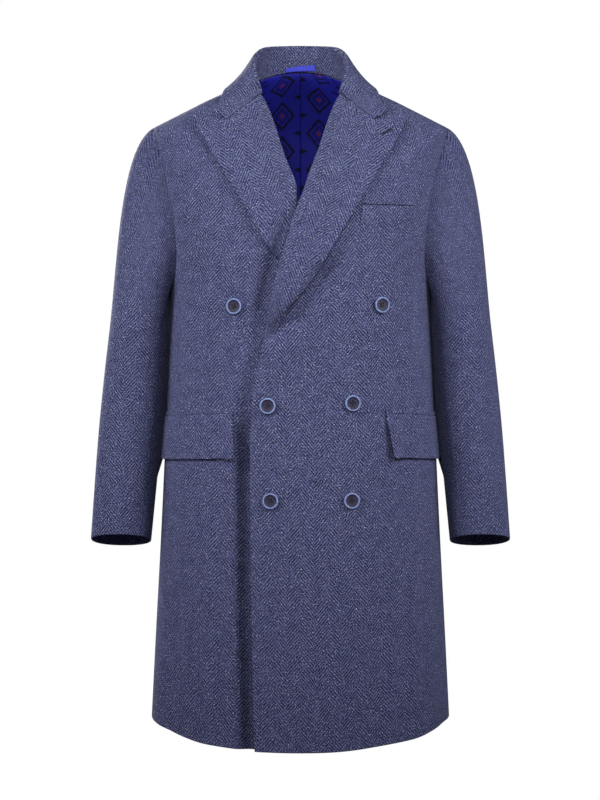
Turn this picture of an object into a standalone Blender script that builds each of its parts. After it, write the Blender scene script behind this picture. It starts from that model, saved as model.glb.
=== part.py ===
"""Double-breasted overcoat with peak lapels, in its hollow worn form.

Metres, +Z up. The front faces -Y and the wearer's left is +X. The origin is the centre of the
neck base, where the wearer's shoulders carry the coat. The body is a family of rings: a point
of the cloth has an angle (0 at centre front, 90 degrees at the wearer's left side, 180 at
centre back) and a level (0 at the hem, 1 at the neck seam). Every other piece is made from
points of that surface, moved out.
"""
import math

import bmesh
import bpy
import numpy as np
from mathutils import Vector

# Driving dimensions
BODY_WALL = 0.0025
LAPEL_WALL = 0.0030
COLLAR_WALL = 0.0034
SLEEVE_WALL = 0.0023
FLAP_WALL = 0.0026
JET_WALL = 0.0016
LINING_WALL = 0.0008
SEAM = 0.0003
LYING = 0.0008
SQUARENESS = 0.88
BUTTON_RADIUS = 0.0125
BUTTON_HEIGHT = 0.0046
BUTTON_STEPS = 16

SHOULDER_LEVEL = 0.90
ARMPIT_LEVEL = 0.68
ARMHOLE_FRONT = math.radians(25)
ARMHOLE_BACK = math.radians(22)
ARMHOLE_ROUNDNESS = 0.55
SIDE = math.pi / 2
BACK = math.pi

# Rings of the cloth's inside: half width, depth in front of and behind the ring's centre,
# the centre's y, and the height at the sides, at centre front and at centre back.
RING_COLUMNS = ("level", "half_width", "front", "back", "centre_y", "side_z", "front_z", "back_z")
RINGS = (
    (0.00, 0.2335, 0.160, 0.152, 0.000, -0.990, -1.018, -0.988),
    (0.15, 0.2262, 0.152, 0.147, 0.000, -0.850, -0.862, -0.849),
    (0.30, 0.2185, 0.145, 0.141, 0.000, -0.710, -0.715, -0.710),
    (0.45, 0.2115, 0.140, 0.134, 0.000, -0.565, -0.566, -0.565),
    (0.55, 0.2070, 0.137, 0.126, 0.000, -0.450, -0.450, -0.450),
    (0.65, 0.2025, 0.137, 0.129, 0.000, -0.350, -0.352, -0.350),
    (0.68, 0.2015, 0.137, 0.131, 0.000, -0.320, -0.325, -0.320),
    (0.80, 0.2205, 0.135, 0.131, 0.003, -0.190, -0.248, -0.190),
    (0.90, 0.2285, 0.120, 0.113, 0.006, -0.0625, -0.168, -0.078),
    (0.955, 0.1500, 0.093, 0.091, 0.007, -0.0225, -0.107, -0.015),
    (1.00, 0.0745, 0.060, 0.068, 0.008, 0.0125, -0.060, 0.034),
    (1.05, 0.0725, 0.060, 0.071, 0.008, 0.0340, -0.038, 0.054),
)

# Soft folds of the skirt: angle, width, depth (inwards is negative) and the heights between
# which each one grows.
FOLD_COLUMNS = ("angle", "width", "depth", "top_z", "full_z")
FOLDS = (
    (math.radians(-31), math.radians(7), -0.0050, -0.46, -0.80),
    (math.radians(-50), math.radians(11), 0.0040, -0.58, -0.95),
    (math.radians(52), math.radians(12), 0.0045, -0.62, -0.98),
    (math.radians(72), math.radians(9), -0.0035, -0.66, -0.98),
    (math.radians(128), math.radians(14), 0.0060, -0.45, -0.95),
    (math.radians(-128), math.radians(14), 0.0060, -0.45, -0.95),
    (math.radians(158), math.radians(10), -0.0040, -0.50, -0.95),
    (math.radians(-158), math.radians(10), -0.0040, -0.50, -0.95),
)

# How the left front comes down: sideways from the right front's edge and from the right lapel's
# roll line, and in height above and below the V.
OVER_FRONT_RAMP = (0.020, 0.075)
OVER_LAPEL_RAMP = (0.018, 0.070)
BELOW_V_RAMP = (-0.460, -0.290)
ABOVE_V_RAMP = (-0.160, -0.090)
OVER_LAPEL_SPACE = 0.0024

# Front edge and roll line: height, and reach past centre front towards the other side.
EDGE_COLUMNS = ("z", "reach")
EDGE = (
    (-1.030, 0.0680),
    (-0.850, 0.0725),
    (-0.695, 0.0743),
    (-0.560, 0.0755),
    (-0.470, 0.0705),
    (-0.400, 0.0600),
    (-0.345, 0.0485),
    (-0.273, 0.0317),
    (-0.206, 0.0109),
    (-0.169, -0.0030),
    (-0.070, -0.0368),
    (0.021, -0.0678),
    (0.060, -0.0811),
)

# Peak lapel: for each section its point on the roll line, the bend of its top edge at the
# notch, and its outer edge. The right lapel stops where the left front covers it.
LAPEL_COLUMNS = ("roll_x", "roll_z", "bend_x", "bend_z", "edge_x", "edge_z")
LAPEL_LEFT = (
    (0.0555, -0.0140, 0.1130, -0.0590, 0.1640, -0.0535),
    (0.0470, -0.0400, 0.0960, -0.0760, 0.1490, -0.0880),
    (0.0345, -0.0770, 0.0770, -0.1010, 0.1275, -0.1225),
    (0.0200, -0.1200, 0.0600, -0.1390, 0.1047, -0.1594),
    (0.0030, -0.1690, 0.0390, -0.1870, 0.0800, -0.2010),
    (-0.0109, -0.2060, 0.0160, -0.2270, 0.0490, -0.2517),
    (-0.0317, -0.2730, -0.0070, -0.2900, 0.0154, -0.3034),
    (-0.0485, -0.3450, -0.0440, -0.3600, -0.0394, -0.3728),
    (-0.0640, -0.4250, -0.0625, -0.4255, -0.0610, -0.4260),
)
LAPEL_RIGHT = LAPEL_LEFT[:5] + (
    (0.0040, -0.2060, 0.0320, -0.2150, 0.0620, -0.2305),
    (0.0150, -0.2400, 0.0300, -0.2490, 0.0450, -0.2580),
    (0.0235, -0.2720, 0.0265, -0.2745, 0.0300, -0.2780),
)

LAPEL_BEND_SHARE = 0.5
LAPEL_BELLY = 0.0015
LAPEL_TOP_LIFT = 0.0022
LAPEL_TOP_RAMP = (-0.11, -0.04)

# Collar: the angle of each section's neck seam and the stand's rise from it, the fold's point,
# the outer edge's angle and level on the body, and how far it bends to the notch.
COLLAR_COLUMNS = (
    "neck_angle", "neck_rise", "fold_x", "fold_y", "fold_z", "edge_angle", "edge_level", "notch")
COLLAR = (
    (180, 0.0006, 0.0000, 0.0880, 0.0750, 180, 0.980, 0.0),
    (160, 0.0006, 0.0300, 0.0830, 0.0738, 162, 0.980, 0.0),
    (138, 0.0009, 0.0530, 0.0660, 0.0700, 142, 0.979, 0.0),
    (114, 0.0016, 0.0650, 0.0360, 0.0600, 118, 0.978, 0.0),
    (90, 0.0013, 0.0712, 0.0040, 0.0450, 88, 0.976, 0.0),
    (72, 0.0020, 0.0698, -0.0170, 0.0310, 74, 0.970, 0.0),
    (58, 0.0050, 0.0655, -0.0275, 0.0160, 65.5, 0.9625, 0.25),
    (48, 0.0090, 0.0555, -0.0395, -0.0125, 61.1, 0.9543, 1.0),
)
COLLAR_NOTCH = (0.1125, -0.0570)
COLLAR_TIP = (0.1350, -0.0440)
NOTCH_SHARE = 0.72
COLLAR_LYING = 0.0018
FOLD_TURN = 0.003
FALL_HOLLOW = 0.004

# Sleeve below the armhole: the height of the section's centre, its inner and outer sides, its
# half depth and centre in y, and its slope down towards the back.
SLEEVE_COLUMNS = ("z", "inner_x", "outer_x", "half_depth", "centre_y", "back_slope")
SLEEVE = (
    (-0.375, 0.2088, 0.2990, 0.0760, 0.008, 0.00),
    (-0.450, 0.2132, 0.3078, 0.0700, 0.006, 0.03),
    (-0.540, 0.2222, 0.3165, 0.0630, 0.000, 0.09),
    (-0.620, 0.2295, 0.3222, 0.0565, -0.008, 0.18),
    (-0.710, 0.2380, 0.3280, 0.0500, -0.016, 0.277),
)
# Cap of the sleeve: how it leaves the armhole, how it hangs below it, how strongly both pull at
# the crown and at the armpit, and its rows' places between the two.
CAP_OUT = 0.88
CAP_ROUND = 0.38
CAP_DOWN = (0.40, 0.55)
CAP_HANG = (0.12, 0.0, -1.0)
CAP_FIRST_PULL = (0.175, 0.030)
CAP_LAST_PULL = (0.300, 0.050)
CAP_PLACES = (0, 0.07, 0.16, 0.28, 0.43, 0.60, 0.80)
ARMPIT_SPACE = 0.0030
SLEEVE_SQUARENESS = 0.92
SLEEVE_ROWS = 8
SLEEVE_AROUND = 24
FRONT_SEAM_STEP = 9
BACK_SEAM_STEP = 18

# Hip flaps, as the x of the inner end at top and bottom, on each side of the coat.
FLAP_TOP_Z = -0.507
FLAP_BOTTOM_Z = -0.574
FLAP_SIDE_DROP = 0.006
FLAP_STAND = 0.0025
FLAP_INNER = {"left": (0.1280, 0.1370), "right": (0.1020, 0.0980)}
FLAP_OUTER_ANGLE = math.radians(87)
JET_HEIGHT = 0.0065
JET_GAP = 0.0006

# Breast welt: inner and outer ends at the top and at the bottom.
WELT_TOP = (0.0935, 0.1705, -0.1900)
WELT_BOTTOM = (0.0880, 0.1650, -0.2270)

# Buttons: x, z and the front that each one lies on.
BUTTON_COLUMNS = ("x", "z", "front")
BUTTONS = (
    (-0.0990, -0.3430, "right"),
    (0.1217, -0.3410, "left"),
    (-0.0487, -0.4940, "left"),
    (0.0775, -0.4900, "left"),
    (-0.0447, -0.6376, "left"),
    (0.0760, -0.6376, "left"),
)

# Turned shape of a button, from the middle of its face over the rim to the middle of its back.
BUTTON_PROFILE_COLUMNS = ("radius", "height")
BUTTON_PROFILE = (
    (0.0, 0.0026),
    (0.0078, 0.0028),
    (0.0092, 0.0042),
    (0.0108, BUTTON_HEIGHT),
    (BUTTON_RADIUS, 0.0032),
    (0.0118, 0.0010),
    (0.0090, 0.0),
    (0.0, 0.0),
)
BUTTON_MERGE = 0.00005
BUTTON_SEAT = 0.0004

# Lining of the back, and the hanger loop on the collar's stand: half its length in collar
# sections, and its lower and upper edge as shares of the stand's height at both ends.
LINING_HEM_LEVEL = 0.035
LINING_TRIM = math.radians(0.6)
LOOP_HALF_SPAN = 0.80
LOOP_LOWER = (0.03, 0.08)
LOOP_UPPER = (0.20, 0.33)

# Colours (linear) and roughness of the cloth, the lining and the buttons
WOOL = (0.055, 0.060, 0.150)
LINING = (0.020, 0.020, 0.260)
LOOP = (0.080, 0.090, 0.520)
HORN = (0.020, 0.035, 0.110)
WOOL_ROUGHNESS = 0.9
LINING_ROUGHNESS = 0.5
HORN_ROUGHNESS = 0.25


def column(table, names, name):
    """One named column of a table."""
    return np.array([row[names.index(name)] for row in table], dtype=float)


def smooth_curve(knots, values, at):
    """A smooth curve through the values, flat only where the values turn."""
    at = np.clip(np.asarray(at, dtype=float), knots[0], knots[-1])
    spans = np.diff(knots)
    rises = np.diff(values) / spans
    slopes = np.empty(len(knots))
    slopes[0] = rises[0]
    slopes[-1] = rises[-1]
    before, after = rises[:-1], rises[1:]
    same = before * after > 0
    mean = 2 * before * after / np.where(same, before + after, 1)
    slopes[1:-1] = np.where(same, mean, 0)
    place = np.clip(np.searchsorted(knots, at, side="right") - 1, 0, len(spans) - 1)
    span = spans[place]
    part = (at - knots[place]) / span
    back = 1 - part
    return (values[place] * (1 + 2 * part) * back ** 2
            + slopes[place] * span * part * back ** 2
            + values[place + 1] * part ** 2 * (3 - 2 * part)
            - slopes[place + 1] * span * part ** 2 * back)


def ease(value, start, end):
    """0 before start and 1 past end, with a soft change between them."""
    part = np.clip((np.asarray(value, dtype=float) - start) / (end - start), 0, 1)
    return part * part * (3 - 2 * part)


RING_LEVELS = column(RINGS, RING_COLUMNS, "level")
RING_VALUES = {name: column(RINGS, RING_COLUMNS, name) for name in RING_COLUMNS[1:]}
EDGE_Z = column(EDGE, EDGE_COLUMNS, "z")
EDGE_REACH = column(EDGE, EDGE_COLUMNS, "reach")


def ring(name, level):
    return smooth_curve(RING_LEVELS, RING_VALUES[name], level)


def bare_cloth(angle, level):
    """Point of the cloth's inside, before the skirt's folds."""
    angle, level = np.broadcast_arrays(np.asarray(angle, float), np.asarray(level, float))
    across = np.sin(angle)
    ahead = np.cos(angle)
    forward = ahead > 0
    depth = np.where(forward, ring("front", level), ring("back", level))
    end_z = np.where(forward, ring("front_z", level), ring("back_z", level))
    side_z = ring("side_z", level)
    x = ring("half_width", level) * np.sign(across) * np.abs(across) ** SQUARENESS
    y = ring("centre_y", level) - depth * np.sign(ahead) * np.abs(ahead) ** SQUARENESS
    z = side_z + (end_z - side_z) * ahead ** 2
    return np.stack([x, y, z], axis=-1)


def cloth(angle, level):
    """Point of the cloth's inside, with the skirt's folds."""
    point = bare_cloth(angle, level)
    angle = np.broadcast_to(np.asarray(angle, float), point.shape[:-1])
    push = np.zeros(point.shape[:-1])
    for row in FOLDS:
        fold = dict(zip(FOLD_COLUMNS, row))
        turn = np.arctan2(np.sin(angle - fold["angle"]), np.cos(angle - fold["angle"]))
        grown = ease(point[..., 2], fold["top_z"], fold["full_z"])
        push = push + fold["depth"] * np.exp(-(turn / fold["width"]) ** 2) * grown
    outward = np.stack([np.sin(angle), -np.cos(angle), np.zeros_like(push)], axis=-1)
    return point + outward * push[..., None]


def normal(angle, level):
    """Direction out of the cloth."""
    step = 0.002
    angle = np.asarray(angle, float)
    level = np.asarray(level, float)
    top = RING_LEVELS[-1]
    along = cloth(angle + step, level) - cloth(angle - step, level)
    rise = cloth(angle, np.minimum(level + step, top)) - cloth(angle, np.maximum(level - step, 0))
    out = np.cross(along, rise)
    return out / np.linalg.norm(out, axis=-1, keepdims=True)


def lifted(angle, level, lift):
    return cloth(angle, level) + normal(angle, level) * np.asarray(lift)[..., None]


def reach(z):
    return smooth_curve(EDGE_Z, EDGE_REACH, z)


def left_lift(point):
    """How far the left front stands off the body, over the right front and the right lapel."""
    x, z = point[..., 0], point[..., 2]
    past = reach(z)
    over_front = (BODY_WALL + LYING) * (1 - ease(x - past, *OVER_FRONT_RAMP))
    beside_v = ease(z, *BELOW_V_RAMP) * (1 - ease(z, *ABOVE_V_RAMP))
    beside_lapel = beside_v * (1 - ease(x + past, *OVER_LAPEL_RAMP))
    return over_front + (LAPEL_WALL + OVER_LAPEL_SPACE) * beside_lapel


def front_lift(front, point):
    if front == "left":
        return left_lift(point)
    return np.zeros(point.shape[:-1])


def find(x, z):
    """Angle and level of the points of the front that have this x and z."""
    x, z = np.broadcast_arrays(np.asarray(x, float), np.asarray(z, float))
    level = np.interp(z, RING_VALUES["front_z"], RING_LEVELS)
    angle = np.arcsin(np.clip(x / ring("half_width", level), -0.97, 0.97))
    step = 1e-4
    for _ in range(60):
        here = cloth(angle, level)
        by_angle = (cloth(angle + step, level) - here) / step
        by_level = (cloth(angle, level + step) - here) / step
        miss_x = x - here[..., 0]
        miss_z = z - here[..., 2]
        scale = by_angle[..., 0] * by_level[..., 2] - by_angle[..., 2] * by_level[..., 0]
        scale = np.where(np.abs(scale) < 1e-6, 1e-6, scale)
        turn = (miss_x * by_level[..., 2] - miss_z * by_level[..., 0]) / scale
        climb = (miss_z * by_angle[..., 0] - miss_x * by_angle[..., 2]) / scale
        angle = np.clip(angle + np.clip(turn, -0.1, 0.1), -1.54, 1.54)
        level = np.clip(level + np.clip(climb, -0.03, 0.03), 0.0, RING_LEVELS[-1] - step)
    return angle, level


def on_front(front, x, z, lift):
    """Points that lie on a front's outside at this x and z, moved out by lift."""
    angle, level = find(x, z)
    total = BODY_WALL + front_lift(front, cloth(angle, level)) + lift
    return lifted(angle, level, total)


def armhole_turn(level):
    """0 at the top and bottom of the armhole, 1 where it cuts deepest into a panel."""
    part = np.clip((np.asarray(level, float) - ARMPIT_LEVEL) / (SHOULDER_LEVEL - ARMPIT_LEVEL), 0, 1)
    return np.sin(np.pi * part) ** ARMHOLE_ROUNDNESS


def body_levels(count_skirt, count_armhole, count_shoulder):
    """Levels of a panel's rows, closer together where the armhole turns."""
    skirt = np.linspace(0, ARMPIT_LEVEL, count_skirt + 1)
    part = (1 - np.cos(np.linspace(0, np.pi, count_armhole + 1))) / 2
    armhole = ARMPIT_LEVEL + (SHOULDER_LEVEL - ARMPIT_LEVEL) * part
    shoulder = np.linspace(SHOULDER_LEVEL, 1, count_shoulder + 1)
    return np.concatenate([skirt, armhole[1:], shoulder[1:]])


def front_inner_angle(front, levels):
    """Angle of a front's edge or roll line at each level."""
    sign = 1 if front == "right" else -1
    low = np.full(len(levels), -SIDE)
    high = np.full(len(levels), SIDE)
    for _ in range(40):
        middle = (low + high) / 2
        point = cloth(middle, levels)
        beyond = point[:, 0] > sign * reach(point[:, 2])
        high = np.where(beyond, middle, high)
        low = np.where(beyond, low, middle)
    return (low + high) / 2


def seam_angle(levels):
    """The turn that leaves half a seam's gap beside the side and shoulder seams."""
    return SEAM / 2 / np.maximum(ring("front", levels), 0.05)


def front_grid(front, columns, levels):
    inner = front_inner_angle(front, levels)
    outer = SIDE - ARMHOLE_FRONT * armhole_turn(levels) - seam_angle(levels)
    share = np.linspace(0, 1, columns + 1)
    if front == "left":
        low, high = inner, outer
    else:
        low, high = -outer, inner
    angle = low[:, None] + (high - low)[:, None] * share[None, :]
    level = np.repeat(levels[:, None], columns + 1, axis=1)
    return lifted(angle, level, front_lift(front, cloth(angle, level)))


def back_grid(columns, levels, lift, trim):
    """Left half of the back, from the side seam to the centre-back seam."""
    outer = SIDE + ARMHOLE_BACK * armhole_turn(levels) + seam_angle(levels) + trim
    inner = BACK - seam_angle(levels)
    share = np.linspace(0, 1, columns + 1)
    angle = outer[:, None] + (inner - outer)[:, None] * share[None, :]
    level = np.repeat(levels[:, None], columns + 1, axis=1)
    return lifted(angle, level, np.full(angle.shape, lift))


def mirrored(grid):
    """The same piece on the wearer's other side."""
    flipped = grid[:, ::-1].copy()
    flipped[..., 0] *= -1
    return flipped


def plain_material(name, colour, roughness):
    material = bpy.data.materials.new(name)
    material.use_nodes = True
    shader = material.node_tree.nodes["Principled BSDF"]
    shader.inputs["Base Color"].default_value = (*colour, 1)
    shader.inputs["Roughness"].default_value = roughness
    shader.inputs["Metallic"].default_value = 0
    return material


def add_object(name, mesh, colour, roughness):
    thing = bpy.data.objects.new(name, mesh)
    mesh.materials.append(plain_material(name, colour, roughness))
    COAT.objects.link(thing)
    return thing


def shell(name, grid, wall, colour=WOOL, roughness=WOOL_ROUGHNESS):
    """A cloth piece: the grid's surface, thickened outwards."""
    rows, columns = grid.shape[:2]
    mesh = bpy.data.meshes.new(name)
    build = bmesh.new()
    points = [[build.verts.new(grid[row, col]) for col in range(columns)] for row in range(rows)]
    for row in range(rows - 1):
        for col in range(columns - 1):
            build.faces.new((points[row][col], points[row][col + 1],
                             points[row + 1][col + 1], points[row + 1][col]))
    build.to_mesh(mesh)
    build.free()
    mesh.shade_smooth()
    thing = add_object(name, mesh, colour, roughness)
    solidify = thing.modifiers.new("Wall", "SOLIDIFY")
    solidify.thickness = wall
    solidify.offset = 1
    return thing


def lapel_grid(front, table, rows, columns):
    """A lapel's points on its front, from the roll line to the outer edge."""
    knots = np.arange(len(table), dtype=float)
    at = np.linspace(0, len(table) - 1, rows + 1)
    place = {name: smooth_curve(knots, column(table, LAPEL_COLUMNS, name), at)
             for name in LAPEL_COLUMNS}
    share = np.linspace(0, 1, columns + 1)
    inner = np.clip(share / LAPEL_BEND_SHARE, 0, 1)
    outer = np.clip((share - LAPEL_BEND_SHARE) / (1 - LAPEL_BEND_SHARE), 0, 1)

    def across(axis):
        roll, middle, edge = (place[f"{part}_{axis}"][:, None] for part in ("roll", "bend", "edge"))
        return roll + (middle - roll) * inner + (edge - middle) * outer

    sign = 1 if front == "left" else -1
    belly = LAPEL_BELLY * np.sin(np.pi * share)
    lift = LYING + belly + LAPEL_TOP_LIFT * ease(across("z"), *LAPEL_TOP_RAMP)
    grid = on_front(front, sign * across("x"), across("z"), lift)
    return grid if front == "left" else grid[:, ::-1]


def lay_over(points, angle, level, lift):
    """Points moved out where they come closer to the body's inside than lift."""
    step = 1e-4
    for _ in range(12):
        here = cloth(angle, level)
        by_angle = (cloth(angle + step, level) - here) / step
        by_level = (cloth(angle, level + step) - here) / step
        miss = points - here
        turn_size = np.sum(by_angle ** 2, axis=-1)
        climb_size = np.sum(by_level ** 2, axis=-1)
        mixed = np.sum(by_angle * by_level, axis=-1)
        turn_miss = np.sum(by_angle * miss, axis=-1)
        climb_miss = np.sum(by_level * miss, axis=-1)
        scale = turn_size * climb_size - mixed ** 2
        turn = (turn_miss * climb_size - climb_miss * mixed) / scale
        climb = (climb_miss * turn_size - turn_miss * mixed) / scale
        angle = angle + np.clip(turn, -0.1, 0.1)
        level = np.clip(level + np.clip(climb, -0.02, 0.02), 0.0, 1.04)
    out = normal(angle, level)
    height = np.sum((points - cloth(angle, level)) * out, axis=-1)
    return points + out * np.maximum(lift - height, 0)[..., None]


def collar_stand(at):
    """Values of the collar's table, and its points on the neck seam and on the fold."""
    knots = np.arange(len(COLLAR), dtype=float)
    place = {name: smooth_curve(knots, column(COLLAR, COLLAR_COLUMNS, name), at)
             for name in COLLAR_COLUMNS}
    neck = cloth(np.radians(place["neck_angle"]), np.ones(len(at)))
    neck[:, 2] += place["neck_rise"]
    fold = np.stack([place["fold_x"], place["fold_y"], place["fold_z"]], axis=-1)
    return place, neck, fold


def collar_half(rows, stand_columns, fall_columns):
    """The wearer's left half of the collar, from centre back to its end at the notch."""
    place, neck, fold = collar_stand(np.linspace(0, len(COLLAR) - 1, rows + 1))
    neck_angle = np.radians(place["neck_angle"])
    edge_angle = np.radians(place["edge_angle"])
    lift = BODY_WALL + COLLAR_LYING
    edge = lifted(edge_angle, place["edge_level"], np.full(rows + 1, lift))

    up = np.linspace(0, 1, stand_columns + 1)[None, :, None]
    stand = neck[:, None] + (fold - neck)[:, None] * up

    outward = edge - fold
    outward[:, 2] = 0
    outward /= np.linalg.norm(outward, axis=-1, keepdims=True)
    crest = fold + outward * FOLD_TURN
    share = np.linspace(0, 1, fall_columns + 1)
    stops = (0, NOTCH_SHARE, 1)
    end_x = np.interp(share, stops, (crest[-1, 0], COLLAR_NOTCH[0], COLLAR_TIP[0]))
    end_z = np.interp(share, stops, (crest[-1, 2], COLLAR_NOTCH[1], COLLAR_TIP[1]))
    end = on_front("right", end_x, end_z, np.full(len(share), COLLAR_LYING))
    fall = crest[:, None] + (edge - crest)[:, None] * share[None, :, None]
    fall[..., 2] -= FALL_HOLLOW * np.sin(np.pi * share)
    fall += place["notch"][:, None, None] * (end - fall[-1])
    angle = neck_angle[:, None] + (edge_angle - neck_angle)[:, None] * share
    level = 1 + (place["edge_level"] - 1)[:, None] * share
    fall = lay_over(fall, angle, level, lift)
    return np.concatenate([stand, fall], axis=1)


def sleeve_grid():
    """A left sleeve's inside, from the armhole down to the cuff, all the way round."""
    turn = np.linspace(0, 2 * np.pi, SLEEVE_AROUND + 1)
    drop = (1 - np.cos(turn)) / 2
    level = SHOULDER_LEVEL + (ARMPIT_LEVEL - SHOULDER_LEVEL) * drop
    ahead = np.sin(turn) >= 0
    cut = np.where(ahead, -ARMHOLE_FRONT, ARMHOLE_BACK) * armhole_turn(level)
    start = lifted(SIDE + cut, level, np.full(len(turn), BODY_WALL + 2 * SEAM))
    down = CAP_DOWN[0] + (CAP_DOWN[1] - CAP_DOWN[0]) * drop
    leave = np.stack([np.full(len(turn), CAP_OUT), -CAP_ROUND * np.sin(turn), -down], axis=-1)
    leave /= np.linalg.norm(leave, axis=-1, keepdims=True)
    start = start + leave * (SEAM + ARMPIT_SPACE * drop ** 3)[:, None]

    heights = column(SLEEVE, SLEEVE_COLUMNS, "z")
    order = np.argsort(heights)
    knots = heights[order]

    def section(z):
        """Points of the sleeve's ring whose centre is at this height."""
        size = {name: smooth_curve(knots, column(SLEEVE, SLEEVE_COLUMNS, name)[order], z)
                for name in SLEEVE_COLUMNS[1:]}
        middle = (size["inner_x"] + size["outer_x"]) / 2
        half = (size["outer_x"] - size["inner_x"]) / 2
        out = np.cos(turn)
        front = np.sin(turn)
        x = middle + half * np.sign(out) * np.abs(out) ** SLEEVE_SQUARENESS
        y = size["centre_y"] - size["half_depth"] * np.sign(front) * np.abs(front) ** SLEEVE_SQUARENESS
        slope = size["back_slope"]
        return np.stack([x, y, z - slope * (y - size["centre_y"])], axis=-1)

    top_z = knots[-1]
    joined = section(top_z)
    first_pull = CAP_FIRST_PULL[0] + (CAP_FIRST_PULL[1] - CAP_FIRST_PULL[0]) * drop
    last_pull = CAP_LAST_PULL[0] + (CAP_LAST_PULL[1] - CAP_LAST_PULL[0]) * drop
    rows = []
    for part in CAP_PLACES:
        back = 1 - part
        rows.append(start * ((1 + 2 * part) * back ** 2)
                    + leave * (first_pull * part * back ** 2)[:, None]
                    + joined * (part ** 2 * (3 - 2 * part))
                    - np.array(CAP_HANG) * (last_pull * part ** 2 * back)[:, None])
    rows.extend(section(z) for z in np.linspace(top_z, knots[0], SLEEVE_ROWS))
    return np.array(rows)


def strip(grid, first, last):
    """Columns of a closed ring grid from first to last, with half a seam's gap at both ends."""
    steps = grid.shape[1] - 1
    picked = grid[:, [step % steps for step in range(first, last + 1)]].copy()
    for edge, inside in ((0, 1), (-1, -2)):
        gap = picked[:, inside] - picked[:, edge]
        length = np.linalg.norm(gap, axis=-1, keepdims=True)
        picked[:, edge] += gap / length * SEAM
    return picked[::-1, ::-1]


def flap_grid(side, top_z, bottom_z, rows, columns, stand):
    """A strip across the hip of one side, from its inner end to the side seam."""
    inner_top, inner_bottom = FLAP_INNER[side]
    height = np.linspace(0, 1, rows + 1)
    grid = []
    for part in height:
        z = bottom_z + (top_z - bottom_z) * part
        span = (z - FLAP_BOTTOM_Z) / (FLAP_TOP_Z - FLAP_BOTTOM_Z)
        x = inner_bottom + (inner_top - inner_bottom) * min(span, 1)
        inner_angle, _ = find(x, z)
        angle = np.linspace(float(inner_angle), FLAP_OUTER_ANGLE, columns + 1)
        sag = z - FLAP_SIDE_DROP * ease(angle, float(inner_angle), FLAP_OUTER_ANGLE)
        level = np.interp(sag, RING_VALUES["side_z"], RING_LEVELS)
        sign = 1 if side == "left" else -1
        under = front_lift(side, cloth(sign * angle, level))
        row = lifted(sign * angle, level, under + BODY_WALL + LYING + stand * (1 - part))
        grid.append(row if side == "left" else row[::-1])
    return np.array(grid)


def welt_grid(rows, columns):
    share = np.linspace(0, 1, columns + 1)
    grid = []
    for part in np.linspace(0, 1, rows + 1):
        ends = [low + (high - low) * part for low, high in zip(WELT_BOTTOM, WELT_TOP)]
        x = ends[0] + (ends[1] - ends[0]) * share
        grid.append(on_front("left", x, np.full(columns + 1, ends[2]), np.full(columns + 1, LYING)))
    return np.array(grid)


def loop_grid(columns):
    """A short tilted strip across centre back, on the neck side of the collar's stand."""
    at = np.linspace(-LOOP_HALF_SPAN, LOOP_HALF_SPAN, columns + 1)
    _, neck, fold = collar_stand(np.abs(at))
    inwards = COLLAR_WALL + LINING_WALL + LYING
    grid = []
    for low, high in (LOOP_UPPER, LOOP_LOWER):
        share = low + (high - low) * (at + LOOP_HALF_SPAN) / (2 * LOOP_HALF_SPAN)
        row = neck + (fold - neck) * share[:, None]
        row[:, 0] *= np.sign(at)
        row[:, 1] -= inwards
        grid.append(row)
    return np.array(grid)


def button(number, x, z, front):
    """A turned button: a rounded rim round a dished middle, flat against the cloth."""
    name = f"button_{number}"
    mesh = bpy.data.meshes.new(name)
    build = bmesh.new()
    points = [build.verts.new((radius, 0, height)) for radius, height in BUTTON_PROFILE]
    for first, second in zip(points, points[1:]):
        build.edges.new((first, second))
    build.to_mesh(mesh)
    build.free()
    thing = add_object(name, mesh, HORN, HORN_ROUGHNESS)
    screw = thing.modifiers.new("Turn", "SCREW")
    screw.steps = BUTTON_STEPS
    screw.render_steps = BUTTON_STEPS
    screw.use_merge_vertices = True
    screw.merge_threshold = BUTTON_MERGE
    angle, level = find(x, z)
    out = Vector(normal(angle, level))
    thing.location = Vector(on_front(front, x, z, np.array(BUTTON_SEAT)))
    thing.rotation_mode = "QUATERNION"
    thing.rotation_quaternion = out.to_track_quat("Z", "Y")
    return thing


for old in list(bpy.data.objects):
    bpy.data.objects.remove(old, do_unlink=True)
COAT = bpy.data.collections.new("overcoat")
bpy.context.scene.collection.children.link(COAT)

front_levels = body_levels(13, 8, 4)
shell("front_left", front_grid("left", 12, front_levels), BODY_WALL)
shell("front_right", front_grid("right", 12, front_levels), BODY_WALL)

back_levels = body_levels(10, 8, 4)
back = back_grid(9, back_levels, 0.0, 0.0)
shell("back_left", back, BODY_WALL)
shell("back_right", mirrored(back), BODY_WALL)

lining_levels = np.maximum(back_levels, LINING_HEM_LEVEL)
lining = back_grid(9, lining_levels, -LINING_WALL - LYING, LINING_TRIM)
shell("lining_left", lining, LINING_WALL, LINING, LINING_ROUGHNESS)
shell("lining_right", mirrored(lining), LINING_WALL, LINING, LINING_ROUGHNESS)

sleeve = sleeve_grid()
for part, first, last in (("under", FRONT_SEAM_STEP, BACK_SEAM_STEP),
                          ("top", BACK_SEAM_STEP, FRONT_SEAM_STEP + SLEEVE_AROUND)):
    piece = strip(sleeve, first, last)
    shell(f"sleeve_left_{part}", piece, SLEEVE_WALL)
    shell(f"sleeve_right_{part}", mirrored(piece), SLEEVE_WALL)

shell("lapel_left", lapel_grid("left", LAPEL_LEFT, 20, 6)[::-1], LAPEL_WALL)
shell("lapel_right", lapel_grid("right", LAPEL_RIGHT, 16, 6)[::-1], LAPEL_WALL)

half = collar_half(14, 3, 5)
whole = np.concatenate([(half * (-1, 1, 1))[:0:-1], half], axis=0)
shell("collar", whole[:, ::-1], COLLAR_WALL)

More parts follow.
